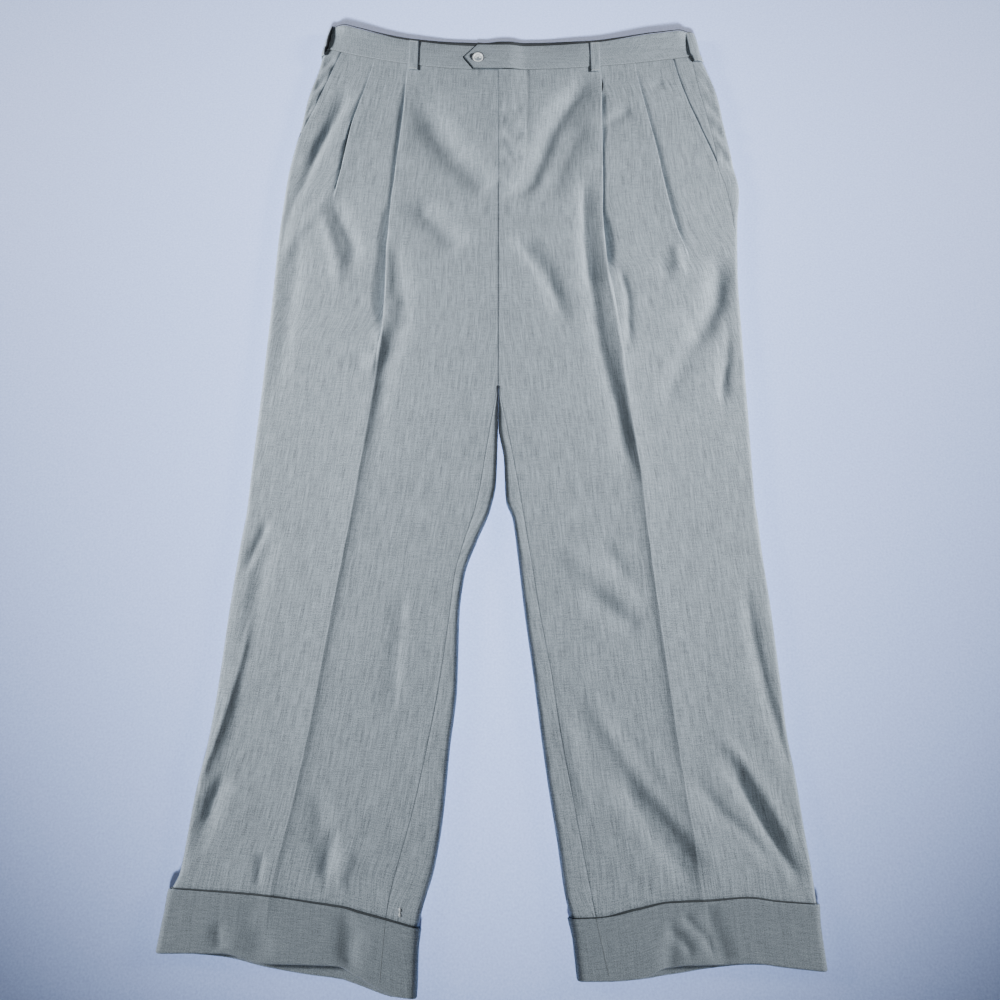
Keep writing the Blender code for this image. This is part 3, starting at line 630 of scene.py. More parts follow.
class Pleat:
    """A fold pressed in the front: an S-bend whose two arcs turn up to half a circle."""

    def __init__(self, table: Table, v: np.ndarray) -> None:
        """Read the pleat's sizes.

        Args:
            table: its sizes by length.
            v: a column of lengths.
        """
        names = ("bend", "turn", "tuck", "lift", "fall_in", "foot", "fall_out")
        sizes = [table.at(name, v) for name in names]
        self.bend, turn, self.tuck, self.lift, self.fall_in, self.foot, self.fall_out = sizes
        self.turn = np.radians(turn)
        reach = self.bend * np.sin(np.minimum(self.turn, math.pi / 2))
        self.start = table.at("fold", v) - reach
        self.end = self.start + 2 * self.bend * np.sin(self.turn) + self.tuck * np.cos(self.turn)
        self.drop = 2 * self.bend * (1 - np.cos(self.turn)) + self.tuck * np.sin(self.turn)
        back = np.maximum(-np.cos(self.turn), 0)
        self.over = self.tuck * back
        self.under = (self.tuck + self.bend) * back + HALF + FOLD_GAP

    def line(self, top: np.ndarray, foot: np.ndarray, steps: int) -> tuple[np.ndarray, np.ndarray]:
        """The S: an arc down, a straight run back and the same arc turned round.

        Args:
            top: height where the fold starts.
            foot: height where it ends.
            steps: steps round each arc.

        Returns:
            Distances u and heights z, one row for each length.
        """
        angle = self.turn * np.linspace(0, 1, steps + 1)
        across, down = self.bend * np.sin(angle), self.bend * (1 - np.cos(angle))
        span = self.end - self.start
        u = np.hstack((across, span - across[:, ::-1]))
        z = -np.hstack((down, self.drop - down[:, ::-1]))
        reach = walked(np.stack((u, z), axis=2))
        return self.start + u, top + z + (foot - top + self.drop) * reach / reach[:, -1:]

    def rest_height(self, u: np.ndarray, beyond: bool) -> np.ndarray:
        """Height that the pleat gives the cloth on either side.

        It dies away exponentially, but beyond a fold that stands over its foot the
        cloth climbs out of a valley in a straight slope.

        Args:
            u: distances out from the centre.
            beyond: whether the cloth is the one beyond the pleat's foot.

        Returns:
            The added height.
        """
        if beyond:
            away = np.maximum(u - self.end - self.under, 0) / self.fall_out
            slope = np.clip(1 - away, 0, 1)
            return self.foot * np.where(self.foot > 0, np.exp(-away), slope)
        away = np.maximum(self.start - u - self.over, 0)
        return self.lift * np.exp(-away / self.fall_in)


@dataclass
class Sheet:
    """The middle surface of a piece of cloth on a grid, in millimetres.

    Rows run up the trousers and columns across them. across and along are the
    cloth's own coordinates, which the weave follows.
    """

    points: np.ndarray
    across: np.ndarray
    along: np.ndarray
    sign: int
    closed: bool = False

    def normals(self) -> np.ndarray:
        """Unit normals, from the cross product of the grid's two central differences.

        Returns:
            One normal for each point.
        """
        points = self.points
        if self.closed:
            points = np.concatenate((points[:, -1:], points, points[:, :1]), axis=1)
        normal = np.cross(np.gradient(points, axis=1), np.gradient(points, axis=0)) * self.sign
        if self.closed:
            normal = normal[:, 1:-1]
        return normal / np.maximum(np.linalg.norm(normal, axis=2, keepdims=True), 1e-9)

    def moved(self, offset: Any) -> "Sheet":
        """The same sheet, moved square to itself by an offset, one for all points or for each."""
        points = self.points + self.normals() * np.asarray(offset)[..., None]
        return Sheet(points, self.across, self.along, self.sign, self.closed)


def walked(points: np.ndarray) -> np.ndarray:
    """Distance along a line, or along each row of a grid, up to each of its points."""
    steps = np.linalg.norm(np.diff(points, axis=-2), axis=-1)
    return np.insert(np.cumsum(steps, axis=-1), 0, 0.0, axis=-1)


def quarter_turn(steps: int) -> np.ndarray:
    """Angles from 0 to a right angle, in even steps."""
    return np.linspace(0, math.pi / 2, steps + 1)


class Form:
    """The shape of one half of the trousers at a column of lengths."""

    NEAR = np.array([0.0, 0.3, 0.8, 1.6])
    BEND_STEPS = 6
    CENTRE_COLUMNS = 66
    MIDDLE_COLUMNS = 44
    SIDE_COLUMNS = 38
    WRAP_COLUMNS = 9
    FLOOR_COLUMNS = 26
    INSEAM_COLUMNS = 9
    FRONT_STEP = 3.0
    EVEN_SHARE = 0.35
    FLY_FALL = 24.0
    SEAT_LEAD = 4.0
    SEAT_EDGE = 1.9

    def __init__(self, side: Side, lengths: np.ndarray) -> None:
        """Read the section's sizes.

        Args:
            side: the half.
            lengths: the lengths up from the hem, one for each row.
        """
        self.side = side
        self.v = lengths.reshape(-1, 1).astype(float)
        leg = side.leg
        self.outer = leg.at("outer", self.v) - HALF
        self.inner = leg.at("inner", self.v) + HALF
        self.level = leg.at("level", self.v)
        self.floor = HALF + LAYER * (1 - smooth((self.v - CUFF_DEPTH - 4) / CUFF_SPREAD))
        self.middle = (self.level + self.floor) / 2
        self.seam = np.minimum(leg.at("side_seam", self.v), self.outer - SEAM_INSET)
        self.mouth = np.minimum(leg.at("pocket", self.v), self.seam)
        self.inseam = leg.at("inseam", self.v)
        self.inner_roll = np.clip(self.inseam - self.inner - HALF, LEAST_ROLL, ROLL)
        self.below = self.v <= CROTCH
        self.pleats = [Pleat(table, self.v) for table in side.pleats]

    def fly_step(self, u: np.ndarray) -> Any:
        """How far the left front steps up over the right one along the fly.

        Args:
            u: distances out from the centre.

        Returns:
            The step's height.
        """
        if self.side is RIGHT:
            return 0.0
        raised = smooth((self.v - FLY_END) / FLY_TAPER)
        return FLY_STEP * raised * (1 - smooth((u - FLY_OVERLAP - 4) / self.FLY_FALL))

    def height(self, u: np.ndarray, zone: int) -> np.ndarray:
        """Height of the upper layer.

        Args:
            u: distances out from the centre.
            zone: 0 before the pleats, 1 between them and 2 beyond both.

        Returns:
            The middle surface's height.
        """
        z = self.level + self.fly_step(u)
        for number, pleat in enumerate(self.pleats):
            z = z + pleat.rest_height(u, zone > number)
        z = z + crease_relief(self.side.creases, u, self.v)
        z = self.middle + (z - self.middle) * rim(self.outer - u, ROLL, 0.0)
        rolled = self.middle + (z - self.middle) * rim(u - self.inner, self.inner_roll, 0.0)
        return np.where(self.below, rolled, z)

    def front_start(self) -> np.ndarray:
        """Where the front begins: its fly edge, or the inseam below the crotch.

        Returns:
            The distance u, row by row.
        """
        overlap = smooth((self.v - FLY_END - FLY_TAPER) / FLY_TAPER)
        fly = SEAM / 2 - (FLY_OVERLAP * overlap if self.side is RIGHT else 0.0)
        return np.where(self.below, self.inseam + SEAM, fly)

    def front(self) -> tuple[np.ndarray, np.ndarray, int]:
        """The front panel, from its centre edge over both pleats to its side edge.

        Returns:
            Distances u, heights z, and the column of the main pleat's edge.
        """
        start, grid_u, grid_z = self.front_start(), [], []
        counts = (self.CENTRE_COLUMNS, self.MIDDLE_COLUMNS)
        for zone, (pleat, columns) in enumerate(zip(self.pleats, counts)):
            share = np.arange(columns) / columns
            if zone == 0:
                inside = start + self.FRONT_STEP
                u = np.hstack((start + self.NEAR, inside + (pleat.start - inside) * share))
            else:
                round_share = (1 - np.cos(math.pi * share)) / 2
                share = self.EVEN_SHARE * share + (1 - self.EVEN_SHARE) * round_share
                u = start + (pleat.start - start) * share
            top, foot = self.height(pleat.start, zone), self.height(pleat.end, zone + 1)
            fold_u, fold_z = pleat.line(top, foot, self.BEND_STEPS)
            grid_u += [u, fold_u[:, :-1]]
            grid_z += [self.height(u, zone), fold_z[:, :-1]]
            start = pleat.end
        u = start + (self.mouth - SEAM / 2 - start) * np.sin(quarter_turn(self.SIDE_COLUMNS))
        fold_column = len(self.NEAR) + self.CENTRE_COLUMNS + self.BEND_STEPS // 2
        return np.hstack((*grid_u, u)), np.hstack((*grid_z, self.height(u, 2))), fold_column

    def ring(self) -> tuple[np.ndarray, np.ndarray, int, int]:
        """The front and the back as one ring.

        Returns:
            Distances u, heights z, the column of the main pleat's edge and the front's columns.
        """
        front_u, front_z, fold = self.front()
        back_u, back_z = self.back()
        return np.hstack((front_u, back_u)), np.hstack((front_z, back_z)), fold, front_u.shape[1]

    def facing(self) -> tuple[np.ndarray, np.ndarray]:
        """The pocket facing's line before it is lowered under the slanted edge.

        Returns:
            Distances u and heights z.
        """
        start = self.mouth - POCKET_TUCK
        u = start + (self.seam - SEAM / 2 - start) * np.sin(quarter_turn(self.SIDE_COLUMNS))
        return u, self.height(u, 2)

    def facing_drop(self, u: np.ndarray) -> np.ndarray:
        """How far the facing lies below the front's surface."""
        ease = np.clip((self.seam - self.mouth) * 0.8, 0.3, POCKET_EASE)
        return POCKET_DROP * (1 - smooth((u - self.mouth) / ease))

    def back(self) -> tuple[np.ndarray, np.ndarray]:
        """The back: over the side, along the floor and up the inner fold.

        Returns:
            Distances u and heights z.
        """
        angle = quarter_turn(self.WRAP_COLUMNS)
        start = self.seam + SEAM / 2
        over_u = start + (self.outer - start) * np.sin(angle)
        under_u = self.outer - ROLL * (1 - np.cos(angle[1:]))
        under_z = self.middle - (self.middle - self.floor) * np.sin(angle[1:])
        tail_u, tail_z = np.where(self.below, self.tail_below(), self.tail_above())
        share = np.arange(1, self.FLOOR_COLUMNS) / self.FLOOR_COLUMNS
        floor_u = under_u[:, -1:] + (tail_u[:, :1] - under_u[:, -1:]) * share
        floor_z = under_z[:, -1:] + (tail_z[:, :1] - under_z[:, -1:]) * share
        u = np.hstack((over_u, under_u, floor_u, tail_u))
        return u, np.hstack((self.height(over_u, 2), under_z, floor_z, tail_z))

    def tail_below(self) -> tuple[np.ndarray, np.ndarray]:
        """The inner fold of a leg, from the floor up and over to the inseam.

        Returns:
            Distances u and heights z.
        """
        angle = quarter_turn(self.WRAP_COLUMNS)[::-1]
        under_u = self.inner + self.inner_roll * (1 - np.cos(angle))
        under_z = self.middle - (self.middle - self.floor) * np.sin(angle)
        share = 1 - np.cos(quarter_turn(self.INSEAM_COLUMNS)[1:])
        over_u = self.inner + (self.inseam - SEAM / 2 - self.inner) * share
        return np.hstack((under_u, over_u)), np.hstack((under_z, self.height(over_u, 0)))

    def tail_above(self) -> tuple[np.ndarray, np.ndarray]:
        """The back's centre edge, which climbs to the crotch along the seat seam.

        Returns:
            Distances u and heights z.
        """
        steps, lead = self.WRAP_COLUMNS + self.INSEAM_COLUMNS, self.SEAT_LEAD
        climb = 1 - smooth((self.v - CROTCH) / SEAT_CURVE)
        half_height = self.middle - self.floor
        top = np.arcsin(1 - self.SEAT_EDGE / (self.level - self.middle))
        end_angle = -math.pi / 2 + climb * (math.pi / 2 + top)
        rise = half_height * (1 + np.sin(end_angle))
        distance = np.linspace(0, 1, steps + 1) * (lead + rise)
        sine = np.clip(-1 + np.maximum(distance - lead, 0) / half_height, -1, 1)
        reach = SEAM / 2 + HALF * smooth(climb * 4)
        inward = self.inner_roll * climb * (1 - np.sqrt(1 - sine * sine)) * (sine > -1)
        u = reach + inward + np.maximum(lead - distance, 0)
        return u, self.middle + half_height * sine

    def sheet(self, u: np.ndarray, z: np.ndarray, zero: int, closed: bool = False) -> Sheet:
        """Place a section grid in space.

        Args:
            u: distances out from the centre.
            z: heights.
            zero: the column where the cloth's across coordinate is 0.
            closed: whether the last column meets the first.

        Returns:
            The middle surface.
        """
        v = np.broadcast_to(self.v, u.shape)
        points = placed(self.side, u, v, z, np.clip((z - HALF) / (self.level - HALF), 0, 1))
        across = walked(points)
        return Sheet(points, across - across[:, zero:zero + 1], v, self.side.sign, closed)


def quads_of(rows: int, columns: int, closed: bool) -> tuple[np.ndarray, np.ndarray, np.ndarray]:
    """The four corners of every cell of a grid, by row and by column.

    Args:
        rows: the grid's rows.
        columns: the grid's columns.
        closed: whether the last column meets the first.

    Returns:
        The corners' point numbers, rows, and columns (one past the last on a closed grid).
    """
    i, j = np.meshgrid(np.arange(rows - 1), np.arange(columns if closed else columns - 1), indexing="ij")
    row = np.stack((i, i, i + 1, i + 1), axis=2).reshape(-1, 4)
    column = np.stack((j, j + 1, j + 1, j), axis=2).reshape(-1, 4)
    return row * columns + column % columns, row, column


def finished(name: str, mesh: bpy.types.Mesh, finish: bpy.types.Material,
             sharp: float) -> bpy.types.Object:
    """Smooth a mesh, give it its material and make it a piece.

    Args:
        name: the piece's name.
        mesh: its mesh, in metres.
        finish: its material.
        sharp: edges that turn by more degrees than this stay sharp.

    Returns:
        The piece.
    """
    mesh.shade_smooth()
    mesh.set_sharp_from_angle(angle=math.radians(sharp))
    mesh.materials.append(finish)
    piece = bpy.data.objects.new(name, mesh)
    bpy.context.collection.objects.link(piece)
    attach(piece, "root")
    LOG.info("%s: %d faces", name, len(mesh.polygons))
    return piece


def build_mesh(name: str, points: np.ndarray, quads: np.ndarray, weave: np.ndarray,
               finish: bpy.types.Material, sharp: float = 50.0) -> bpy.types.Object:
    """Make a piece from points in millimetres and four-cornered faces.

    Args:
        name: the piece's name.
        points: its points.
        quads: its faces, pointing outwards.
        weave: across and along of each face corner, in millimetres.
        finish: its material.
        sharp: edges that turn by more degrees than this stay sharp.

    Returns:
        The piece.
    """
    mesh = bpy.data.meshes.new(name)
    mesh.vertices.add(len(points))
    mesh.vertices.foreach_set("co", (points * MM).astype(np.float32).ravel())
    mesh.loops.add(quads.size)
    mesh.loops.foreach_set("vertex_index", quads.astype(np.int32).ravel())
    mesh.polygons.add(len(quads))
    mesh.polygons.foreach_set("loop_start", np.arange(0, quads.size, 4, dtype=np.int32))
    mesh.update(calc_edges=True)
    layer = mesh.uv_layers.new(name="Cloth")
    layer.uv.foreach_set("vector", (weave * MM).astype(np.float32).ravel())
    mesh.validate()
    return finished(name, mesh, finish, sharp)


def cloth_shell(node: str, sheet: Sheet, out: Any, inn: Any, finish: bpy.types.Material) -> bpy.types.Object:
    """Each face is the middle surface moved along its normals, and the rim joins
    them row by row and column by column.

    Args:
        node: the solid that the piece stands for.
        sheet: the middle surface.
        out: how far the outer face lies above it.
        inn: how far the inner face lies below it.
        finish: the cloth.

    Returns:
        The piece.
    """
    points = np.vstack([sheet.moved(offset).points.reshape(-1, 3) for offset in (out, -inn)])
    rows, columns = sheet.points.shape[:2]
    across, along = sheet.across, sheet.along
    if sheet.closed:
        gap = np.linalg.norm(sheet.points[:, :1] - sheet.points[:, -1:], axis=2)
        across, along = np.hstack((across, across[:, -1:] + gap)), np.hstack((along, along[:, -1:]))
    cloth = np.stack((across, along), axis=2)
    quads, row, column = quads_of(rows, columns, sheet.closed)
    inner, weave = rows * columns, cloth[row, column]
    faces, weaves = [quads, quads[:, ::-1] + inner], [weave, weave[:, ::-1]]
    ends, steps = np.arange(columns if sheet.closed else columns - 1), np.arange(rows - 1)
    edges = [(r, ends, r, (ends + 1) % columns, turn) for r, turn in ((0, 1), (rows - 1, -1))]
    if not sheet.closed:
        edges += [(steps, c, steps + 1, c, turn) for c, turn in ((0, -1), (columns - 1, 1))]
    for row, column, next_row, next_column, turn in edges:
        a, b = row * columns + column, next_row * columns + next_column
        faces.append(np.stack((a, a + inner, b + inner, b), axis=1)[:, ::turn])
        weaves.append(np.repeat(cloth[row, column][:, None], 4, axis=1))
    piece = build_mesh(f"cloth_{node}", points, np.vstack(faces)[:, ::sheet.sign],
                       np.concatenate(weaves)[:, ::sheet.sign], finish)
    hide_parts(node)
    return piece


def resampled(line: np.ndarray, at: np.ndarray) -> np.ndarray:
    """Points of a line at distances along it."""
    reach = walked(line)
    return np.stack([np.interp(at, reach, part) for part in line.T], axis=1)


def directions(line: np.ndarray) -> np.ndarray:
    """Unit directions of a line at its points, from central differences."""
    direction = np.gradient(line, axis=0)
    return direction / np.linalg.norm(direction, axis=1, keepdims=True)


def thread_stitches(name: str, middle: np.ndarray, direction: np.ndarray, length: float, radius: float,
                    finish: bpy.types.Material) -> None:
    """Short stitches: each is a spindle, a ring of six points carried along its line.

    The ring's radius follows a half sine, and the spindle is bowed down at both
    ends by a parabola so that they sink into the cloth.

    Args:
        name: the piece's name.
        middle: the middle of each stitch, in millimetres.
        direction: the unit direction of each stitch, or of all.
        length: the stitches' length.
        radius: their radius.
        finish: the thread.
    """
    t = np.linspace(-1, 1, 6)
    size = radius * np.sqrt(np.maximum(1 - t * t, 0.02))
    direction = np.broadcast_to(direction, middle.shape)
    path = middle[:, None] + direction[:, None] * (t * length / 2)[:, None]
    path[..., 2] -= radius * 1.2 * t * t
    tubes(name, path, np.broadcast_to(size, path.shape[:2]), finish)


def cord(name: str, path: np.ndarray, radius: np.ndarray, finish: bpy.types.Material) -> None:
    """One tube along a path of points, with a radius at each of them."""
    tubes(name, path[None], radius[None], finish)


def tubes(name: str, paths: np.ndarray, sizes: np.ndarray, finish: bpy.types.Material) -> None:
    """Six-sided tubes: a ring of six points carried along each path.

    A ring's points are the path's plus the radius times the cosine of the angle
    along the level direction square to the path, and times the sine upwards.

    Args:
        name: the piece's name.
        paths: the points of each tube's middle line, in millimetres.
        sizes: the radius at each of them.
        finish: the thread.
    """
    count, rings = sizes.shape
    sides = 6
    angle = np.arange(sides) * 2 * math.pi / sides
    across = np.cross(np.gradient(paths, axis=1), (0.0, 0.0, 1.0))
    across /= np.maximum(np.linalg.norm(across, axis=2, keepdims=True), 1e-9)
    ring = across[:, :, None] * np.cos(angle)[:, None] + np.array((0, 0, 1.0)) * np.sin(angle)[:, None]
    points = paths[:, :, None] + ring * sizes[:, :, None, None]
    each = np.arange(count)[:, None, None] * rings * sides
    faces = [quads_of(rings, sides, True)[0][:, ::-1]]
    for first, turn in ((0, 1), ((rings - 1) * sides, -1)):
        faces.append(np.array(((0, 1, 2, 3), (0, 3, 4, 5)))[:, ::turn] + first)
    faces = np.vstack([(face[None] + each).reshape(-1, 4) for face in faces])
    piece = build_mesh(name, points.reshape(-1, 3), faces, np.zeros((len(faces), 4, 2)), finish, 80.0)


class Term:
    """A node's output that takes part in arithmetic; each operation adds a Math node."""

    def __init__(self, nodes: "Nodes", socket: bpy.types.NodeSocket) -> None:
        """Wrap a socket of a material's nodes."""
        self.nodes, self.socket = nodes, socket

    def math(self, operation: str, *inputs: Any) -> "Term":
        """Apply a Math node to some inputs."""
        return self.nodes.add("ShaderNodeMath", {"operation": operation}, *inputs)

    def __add__(self, other: Any) -> "Term":
        """Sum."""
        return self.math("ADD", self, other)

    __radd__ = __add__

    def __sub__(self, other: Any) -> "Term":
        """Difference."""
        return self.math("SUBTRACT", self, other)

    def __rsub__(self, other: Any) -> "Term":
        """Difference from a number."""
        return self.math("SUBTRACT", other, self)

    def __mul__(self, other: Any) -> "Term":
        """Product."""
        return self.math("MULTIPLY", self, other)

    __rmul__ = __mul__

    def clamped(self) -> "Term":
        """The value kept between 0 and 1."""
        return self.math("MINIMUM", self.math("MAXIMUM", self, 0.0), 1.0)


class Nodes:
    """The nodes of one material."""

    def __init__(self, name: str) -> None:
        """Start a material with an empty Principled shader.

        Args:
            name: the material's name.
        """
        self.material = bpy.data.materials.new(name)
        self.material.use_nodes = True
        self.tree = self.material.node_tree
        self.shader = self.tree.nodes["Principled BSDF"]

    def add(self, kind: str, settings: dict[str, Any], *inputs: Any, output: int = 0,
            **named: Any) -> Term:
        """Add a node.

        Args:
            kind: the node's type.
            settings: its own settings, set first.
            inputs: values or links of its sockets, in order.
            output: the number of the output that is wanted.
            named: values or links of sockets by name, with _ for a space.

        Returns:
            The output, as a term.
        """
        node = self.tree.nodes.new(kind)
        for key, value in settings.items():
            setattr(node, key, value)
        for number, value in enumerate(inputs):
            self.feed(node.inputs[number], value)
        for key, value in named.items():
            self.feed(node.inputs[key.replace("_", " ")], value)
        return Term(self, node.outputs[output])

    def feed(self, socket: bpy.types.NodeSocket, value: Any) -> None:
        """Link a term to a socket, or set the socket's own value.

        Args:
            socket: the socket.
            value: a term or a value.
        """
        if isinstance(value, Term):
            self.tree.links.new(value.socket, socket)
        else:
            socket.default_value = value

    def noise(self, place: Term, scale: Sequence[float], detail: float = 2.0) -> Term:
        """Noise about 0.5.

        Args:
            place: where it is read.
            scale: its cells are 1/scale metres along each axis.
            detail: its layers of finer noise.

        Returns:
            The noise.
        """
        stretched = self.add("ShaderNodeVectorMath", {"operation": "MULTIPLY"}, place, tuple(scale))
        return self.add("ShaderNodeTexNoise", {}, Vector=stretched, Scale=1.0, Detail=detail,
                        Roughness=0.55)

    def blend(self, share: Term, dark: Sequence[float], light: Sequence[float]) -> Term:
        """Mix two colours.

        Args:
            share: the share of the second.
            dark: the first colour.
            light: the second colour.

        Returns:
            The mixed colour.
        """
        node = self.tree.nodes.new("ShaderNodeMix")
        node.data_type = "RGBA"
        self.feed(node.inputs["Factor"], share)
        node.inputs[6].default_value = (*dark, 1.0)
        node.inputs[7].default_value = (*light, 1.0)
        return Term(self, node.outputs[2])

    def finish(self, **values: Any) -> bpy.types.Material:
        """Set the shader's sockets and hand over the material.

        Args:
            values: values or links of sockets by name, with _ for a space.

        Returns:
            The material.
        """
        for key, value in values.items():
            self.feed(self.shader.inputs[key.replace("_", " ")], value)
        return self.material


@dataclass(frozen=True)
class WoolFinish:
    """Melange wool: slubby streaks along the warp, fainter ones across, and a fine nap."""

    name: str
    dark: tuple[float, float, float] = (0.112, 0.135, 0.155)
    light: tuple[float, float, float] = (0.500, 0.596, 0.684)
    warp: tuple[float, float, float] = (820.0, 48.0, 1.0)
    weft: tuple[float, float, float] = (75.0, 820.0, 1.0)
    slub: tuple[float, float, float] = (430.0, 22.0, 1.0)
    speck: tuple[float, float, float] = (1150.0, 1000.0, 1.0)
    cloud: tuple[float, float, float] = (290.0, 20.0, 1.0)
    relief: float = 0.00012
    streak: float = 1.0
    strength: float = 1.0

    def material(self) -> bpy.types.Material:
        """Mix the yarns' noises into one colour and one bump.

        Returns:
            The material.
        """
        nodes = Nodes(self.name)
        cloth = nodes.add("ShaderNodeUVMap", {"uv_map": "Cloth"})
        scales = (self.warp, 3.0), (self.weft, 2.0), (self.slub, 2.0), (self.speck, 1.0), (self.cloud, 2.0)
        warp, weft, slub, speck, cloud = (nodes.noise(cloth, scale, detail) for scale, detail in scales)
        slubs = ((slub - 0.57) * 6.0).clamped() * 0.16 - ((0.42 - slub) * 6.0).clamped() * 0.14
        streaks = (slubs + (warp - 0.5) * 1.1 + (cloud - 0.5) * 0.5) * self.streak
        yarn = (weft - 0.5) * 0.65 + (speck - 0.5) * 1.5
        colour = nodes.blend(((yarn + streaks) * self.strength + 0.5).clamped(), self.dark, self.light)
        bump = nodes.add("ShaderNodeBump", {}, Strength=0.4, Distance=self.relief,
                         Height=warp + weft * 0.8 + speck * 0.6)
        return nodes.finish(Base_Color=colour, Roughness=0.86, Normal=bump, Sheen_Weight=0.12,
                            Sheen_Roughness=0.5)


@dataclass(frozen=True)
class FleckFinish:
    """Two colours mixed by a noise in space: sewing thread, pearl or a plain surface."""

    name: str
    dark: tuple[float, float, float]
    light: tuple[float, float, float]
    scale: tuple[float, float, float] = (2400.0, 2400.0, 2400.0)
    detail: float = 1.0
    roughness: float = 0.7

    def material(self) -> bpy.types.Material:
        """Mix the two colours by the noise at the piece's own place.

        Returns:
            The material.
        """
        nodes = Nodes(self.name)
        place = nodes.add("ShaderNodeTexCoord", {}, output=3)
        colour = nodes.blend(nodes.noise(place, self.scale, self.detail), self.dark, self.light)
        return nodes.finish(Base_Color=colour, Roughness=self.roughness)


@dataclass
class Finishes:
    """The materials that the pieces share."""

    wool: bpy.types.Material
    band: bpy.types.Material
    # Darker copy of the wool: painted shade at the hems.
    cuff: bpy.types.Material
    thread: bpy.types.Material
    pale: bpy.types.Material
    pearl: bpy.types.Material
    # Near-black, for the cords of painted shade and painted shadow.
    tack: bpy.types.Material
    # Dark grey, for the cuffs' cords of painted shade.
    shade: bpy.types.Material


@dataclass
class TrouserHalf:
    """The panels of one side: front, back, pocket facing and turn-up cuff."""

    side: Side
    finishes: Finishes
    row_step: float = 4.0
    edge_roll: float = 1.2
    edge_least: float = 0.5
    facing_start: float = 14.0
    cuff_out: float = 0.55
    cuff_inn: float = 0.5
    cuff_edge: float = 1.7
    cuff_flare: float = 1.5
    flare_start: float = 34.0
    # How far out the cuff's cord of painted shade lies.
    cuff_gap: float = 1.6
    straight_at: float = 8.0
    seam_pitch: float = 1.5
    seam_length: float = 2.6
    seam_radius: float = 0.3
    tack_at: tuple[float, float, float] = (88.3, 61.0, 65.0)
    tack_length: float = 6.0
    tack_radius: float = 1.2

    def lengths(self, low: float, high: float) -> np.ndarray:
        """Rows between two lengths, with close ones at the ends and round the crotch.

        Args:
            low: the first row's length.
            high: the last row's length.

        Returns:
            The rows' lengths.
        """
        even = np.arange(low + 3, high - 2.9, self.row_step)
        crotch = [v for v in (CROTCH - 0.4, CROTCH + 0.4) if low < v < high]
        return np.unique(np.concatenate((low + Form.NEAR, even, high - Form.NEAR, crotch)))

    def panel(self, kind: str, sheet: Sheet) -> None:
        """Make a panel whose rim is rounded, so that seams sink between two panels.

        Args:
            kind: which panel it is.
            sheet: its middle surface.
        """
        reach, v = walked(sheet.points), sheet.along
        share = rim(np.minimum(reach, reach[:, -1:] - reach), self.edge_roll, self.edge_least)
        share = share * rim(np.minimum(v - v[0, 0], v[-1, 0] - v), self.edge_roll, self.edge_least)
        cloth_shell(f"{kind}_{self.side.name}", sheet, HALF * share, LINING * share,
                    self.finishes.wool)

    def build_cuff(self) -> None:
        """The turn-up: from inside the leg's end, round its edge and up outside.

        The rows follow a half circle under the leg's end, then run up the outside
        with a slight flare; each is the leg's own ring, moved square to itself.
        """
        turn = np.linspace(0, math.pi, 9)
        inside = np.array([12.0, 8.0, 4.0])
        outside = np.concatenate(([3.0, 5.0], np.arange(8, 45, 4), [47, 50, 52, 53.2, 53.8, CUFF_DEPTH]))
        v = np.concatenate((inside, self.cuff_edge - LAYER * np.sin(turn), outside))
        rise = smooth((outside - self.flare_start) / (CUFF_DEPTH - self.flare_start))
        flare = LAYER + self.cuff_flare * rise
        offset = np.concatenate((np.full(len(inside), -LAYER), -LAYER * np.cos(turn), flare))
        form = Form(self.side, v)
        u, z, fold, front_columns = form.ring()
        ring = form.sheet(u, z, fold, closed=True)
        sheet = self.moved_ring(ring, offset)
        top = rim(CUFF_DEPTH - ring.along, self.edge_roll)
        cloth_shell(f"cuff_{self.side.name}", sheet, self.cuff_out * top, self.cuff_inn * top,
                    self.finishes.cuff)
        self.sew_cuff(sheet.moved(self.cuff_inn))
        # Painted shade: a dark cord along the cuff's top edge stands for the shade in the gap between the
        # cuff and the leg.
        gap = self.moved_ring(ring, np.full(len(v), self.cuff_gap)).points[-1] + (0, 0.6, 0)
        gap = np.vstack((gap[-9:], gap[:front_columns + 9]))
        size = self.side.cuff_gap.straight("radius", self.side.sign * (gap[:, 0] - CENTRE[0]))
        cord(f"painted_shade_cuff_{self.side.name}", gap, size, self.finishes.shade)

    def sew_cuff(self, face: Sheet) -> None:
        """The inseam's line up the cuff, where its ring begins and ends, and the right one's tack.

        Args:
            face: the cuff's outer face.
        """
        line = (face.points[13:-1, 0] + face.points[13:-1, -1]) / 2
        middle = resampled(line, np.arange(0.8, walked(line)[-1], self.seam_pitch))
        thread_stitches(f"seam_cuff_{self.side.name}", middle, directions(middle), self.seam_length,
                        self.seam_radius, self.finishes.thread)
        if self.side is RIGHT:
            u, *v = self.tack_at
            form = Form(self.side, np.array(v))
            place = placed(self.side, u, form.v, form.height(np.full((2, 1), u), 0) + HALF)[:, 0]
            thread_stitches("tack_cuff_right", place, UP, self.tack_length, self.tack_radius,
                            self.finishes.pearl)

    def moved_ring(self, ring: Sheet, offset: np.ndarray) -> Sheet:
        """Move a ring's rows out from the leg, along the normals of one straight section.

        Args:
            ring: the leg's ring at every row.
            offset: how far each row moves out.

        Returns:
            The moved ring.
        """
        line = np.stack(Form(self.side, np.full(len(offset), self.straight_at)).ring()[:2])
        du, dz = np.roll(line, -2, axis=2) - np.roll(line, 2, axis=2)
        size = np.maximum(np.hypot(du, dz), 1e-9)
        points = ring.points.copy()
        points[..., 0] += self.side.sign * (-dz / size) * offset[:, None]
        points[..., 2] = np.maximum(points[..., 2] + (du / size) * offset[:, None], HALF)
        return Sheet(points, ring.across, ring.along, ring.sign, closed=True)

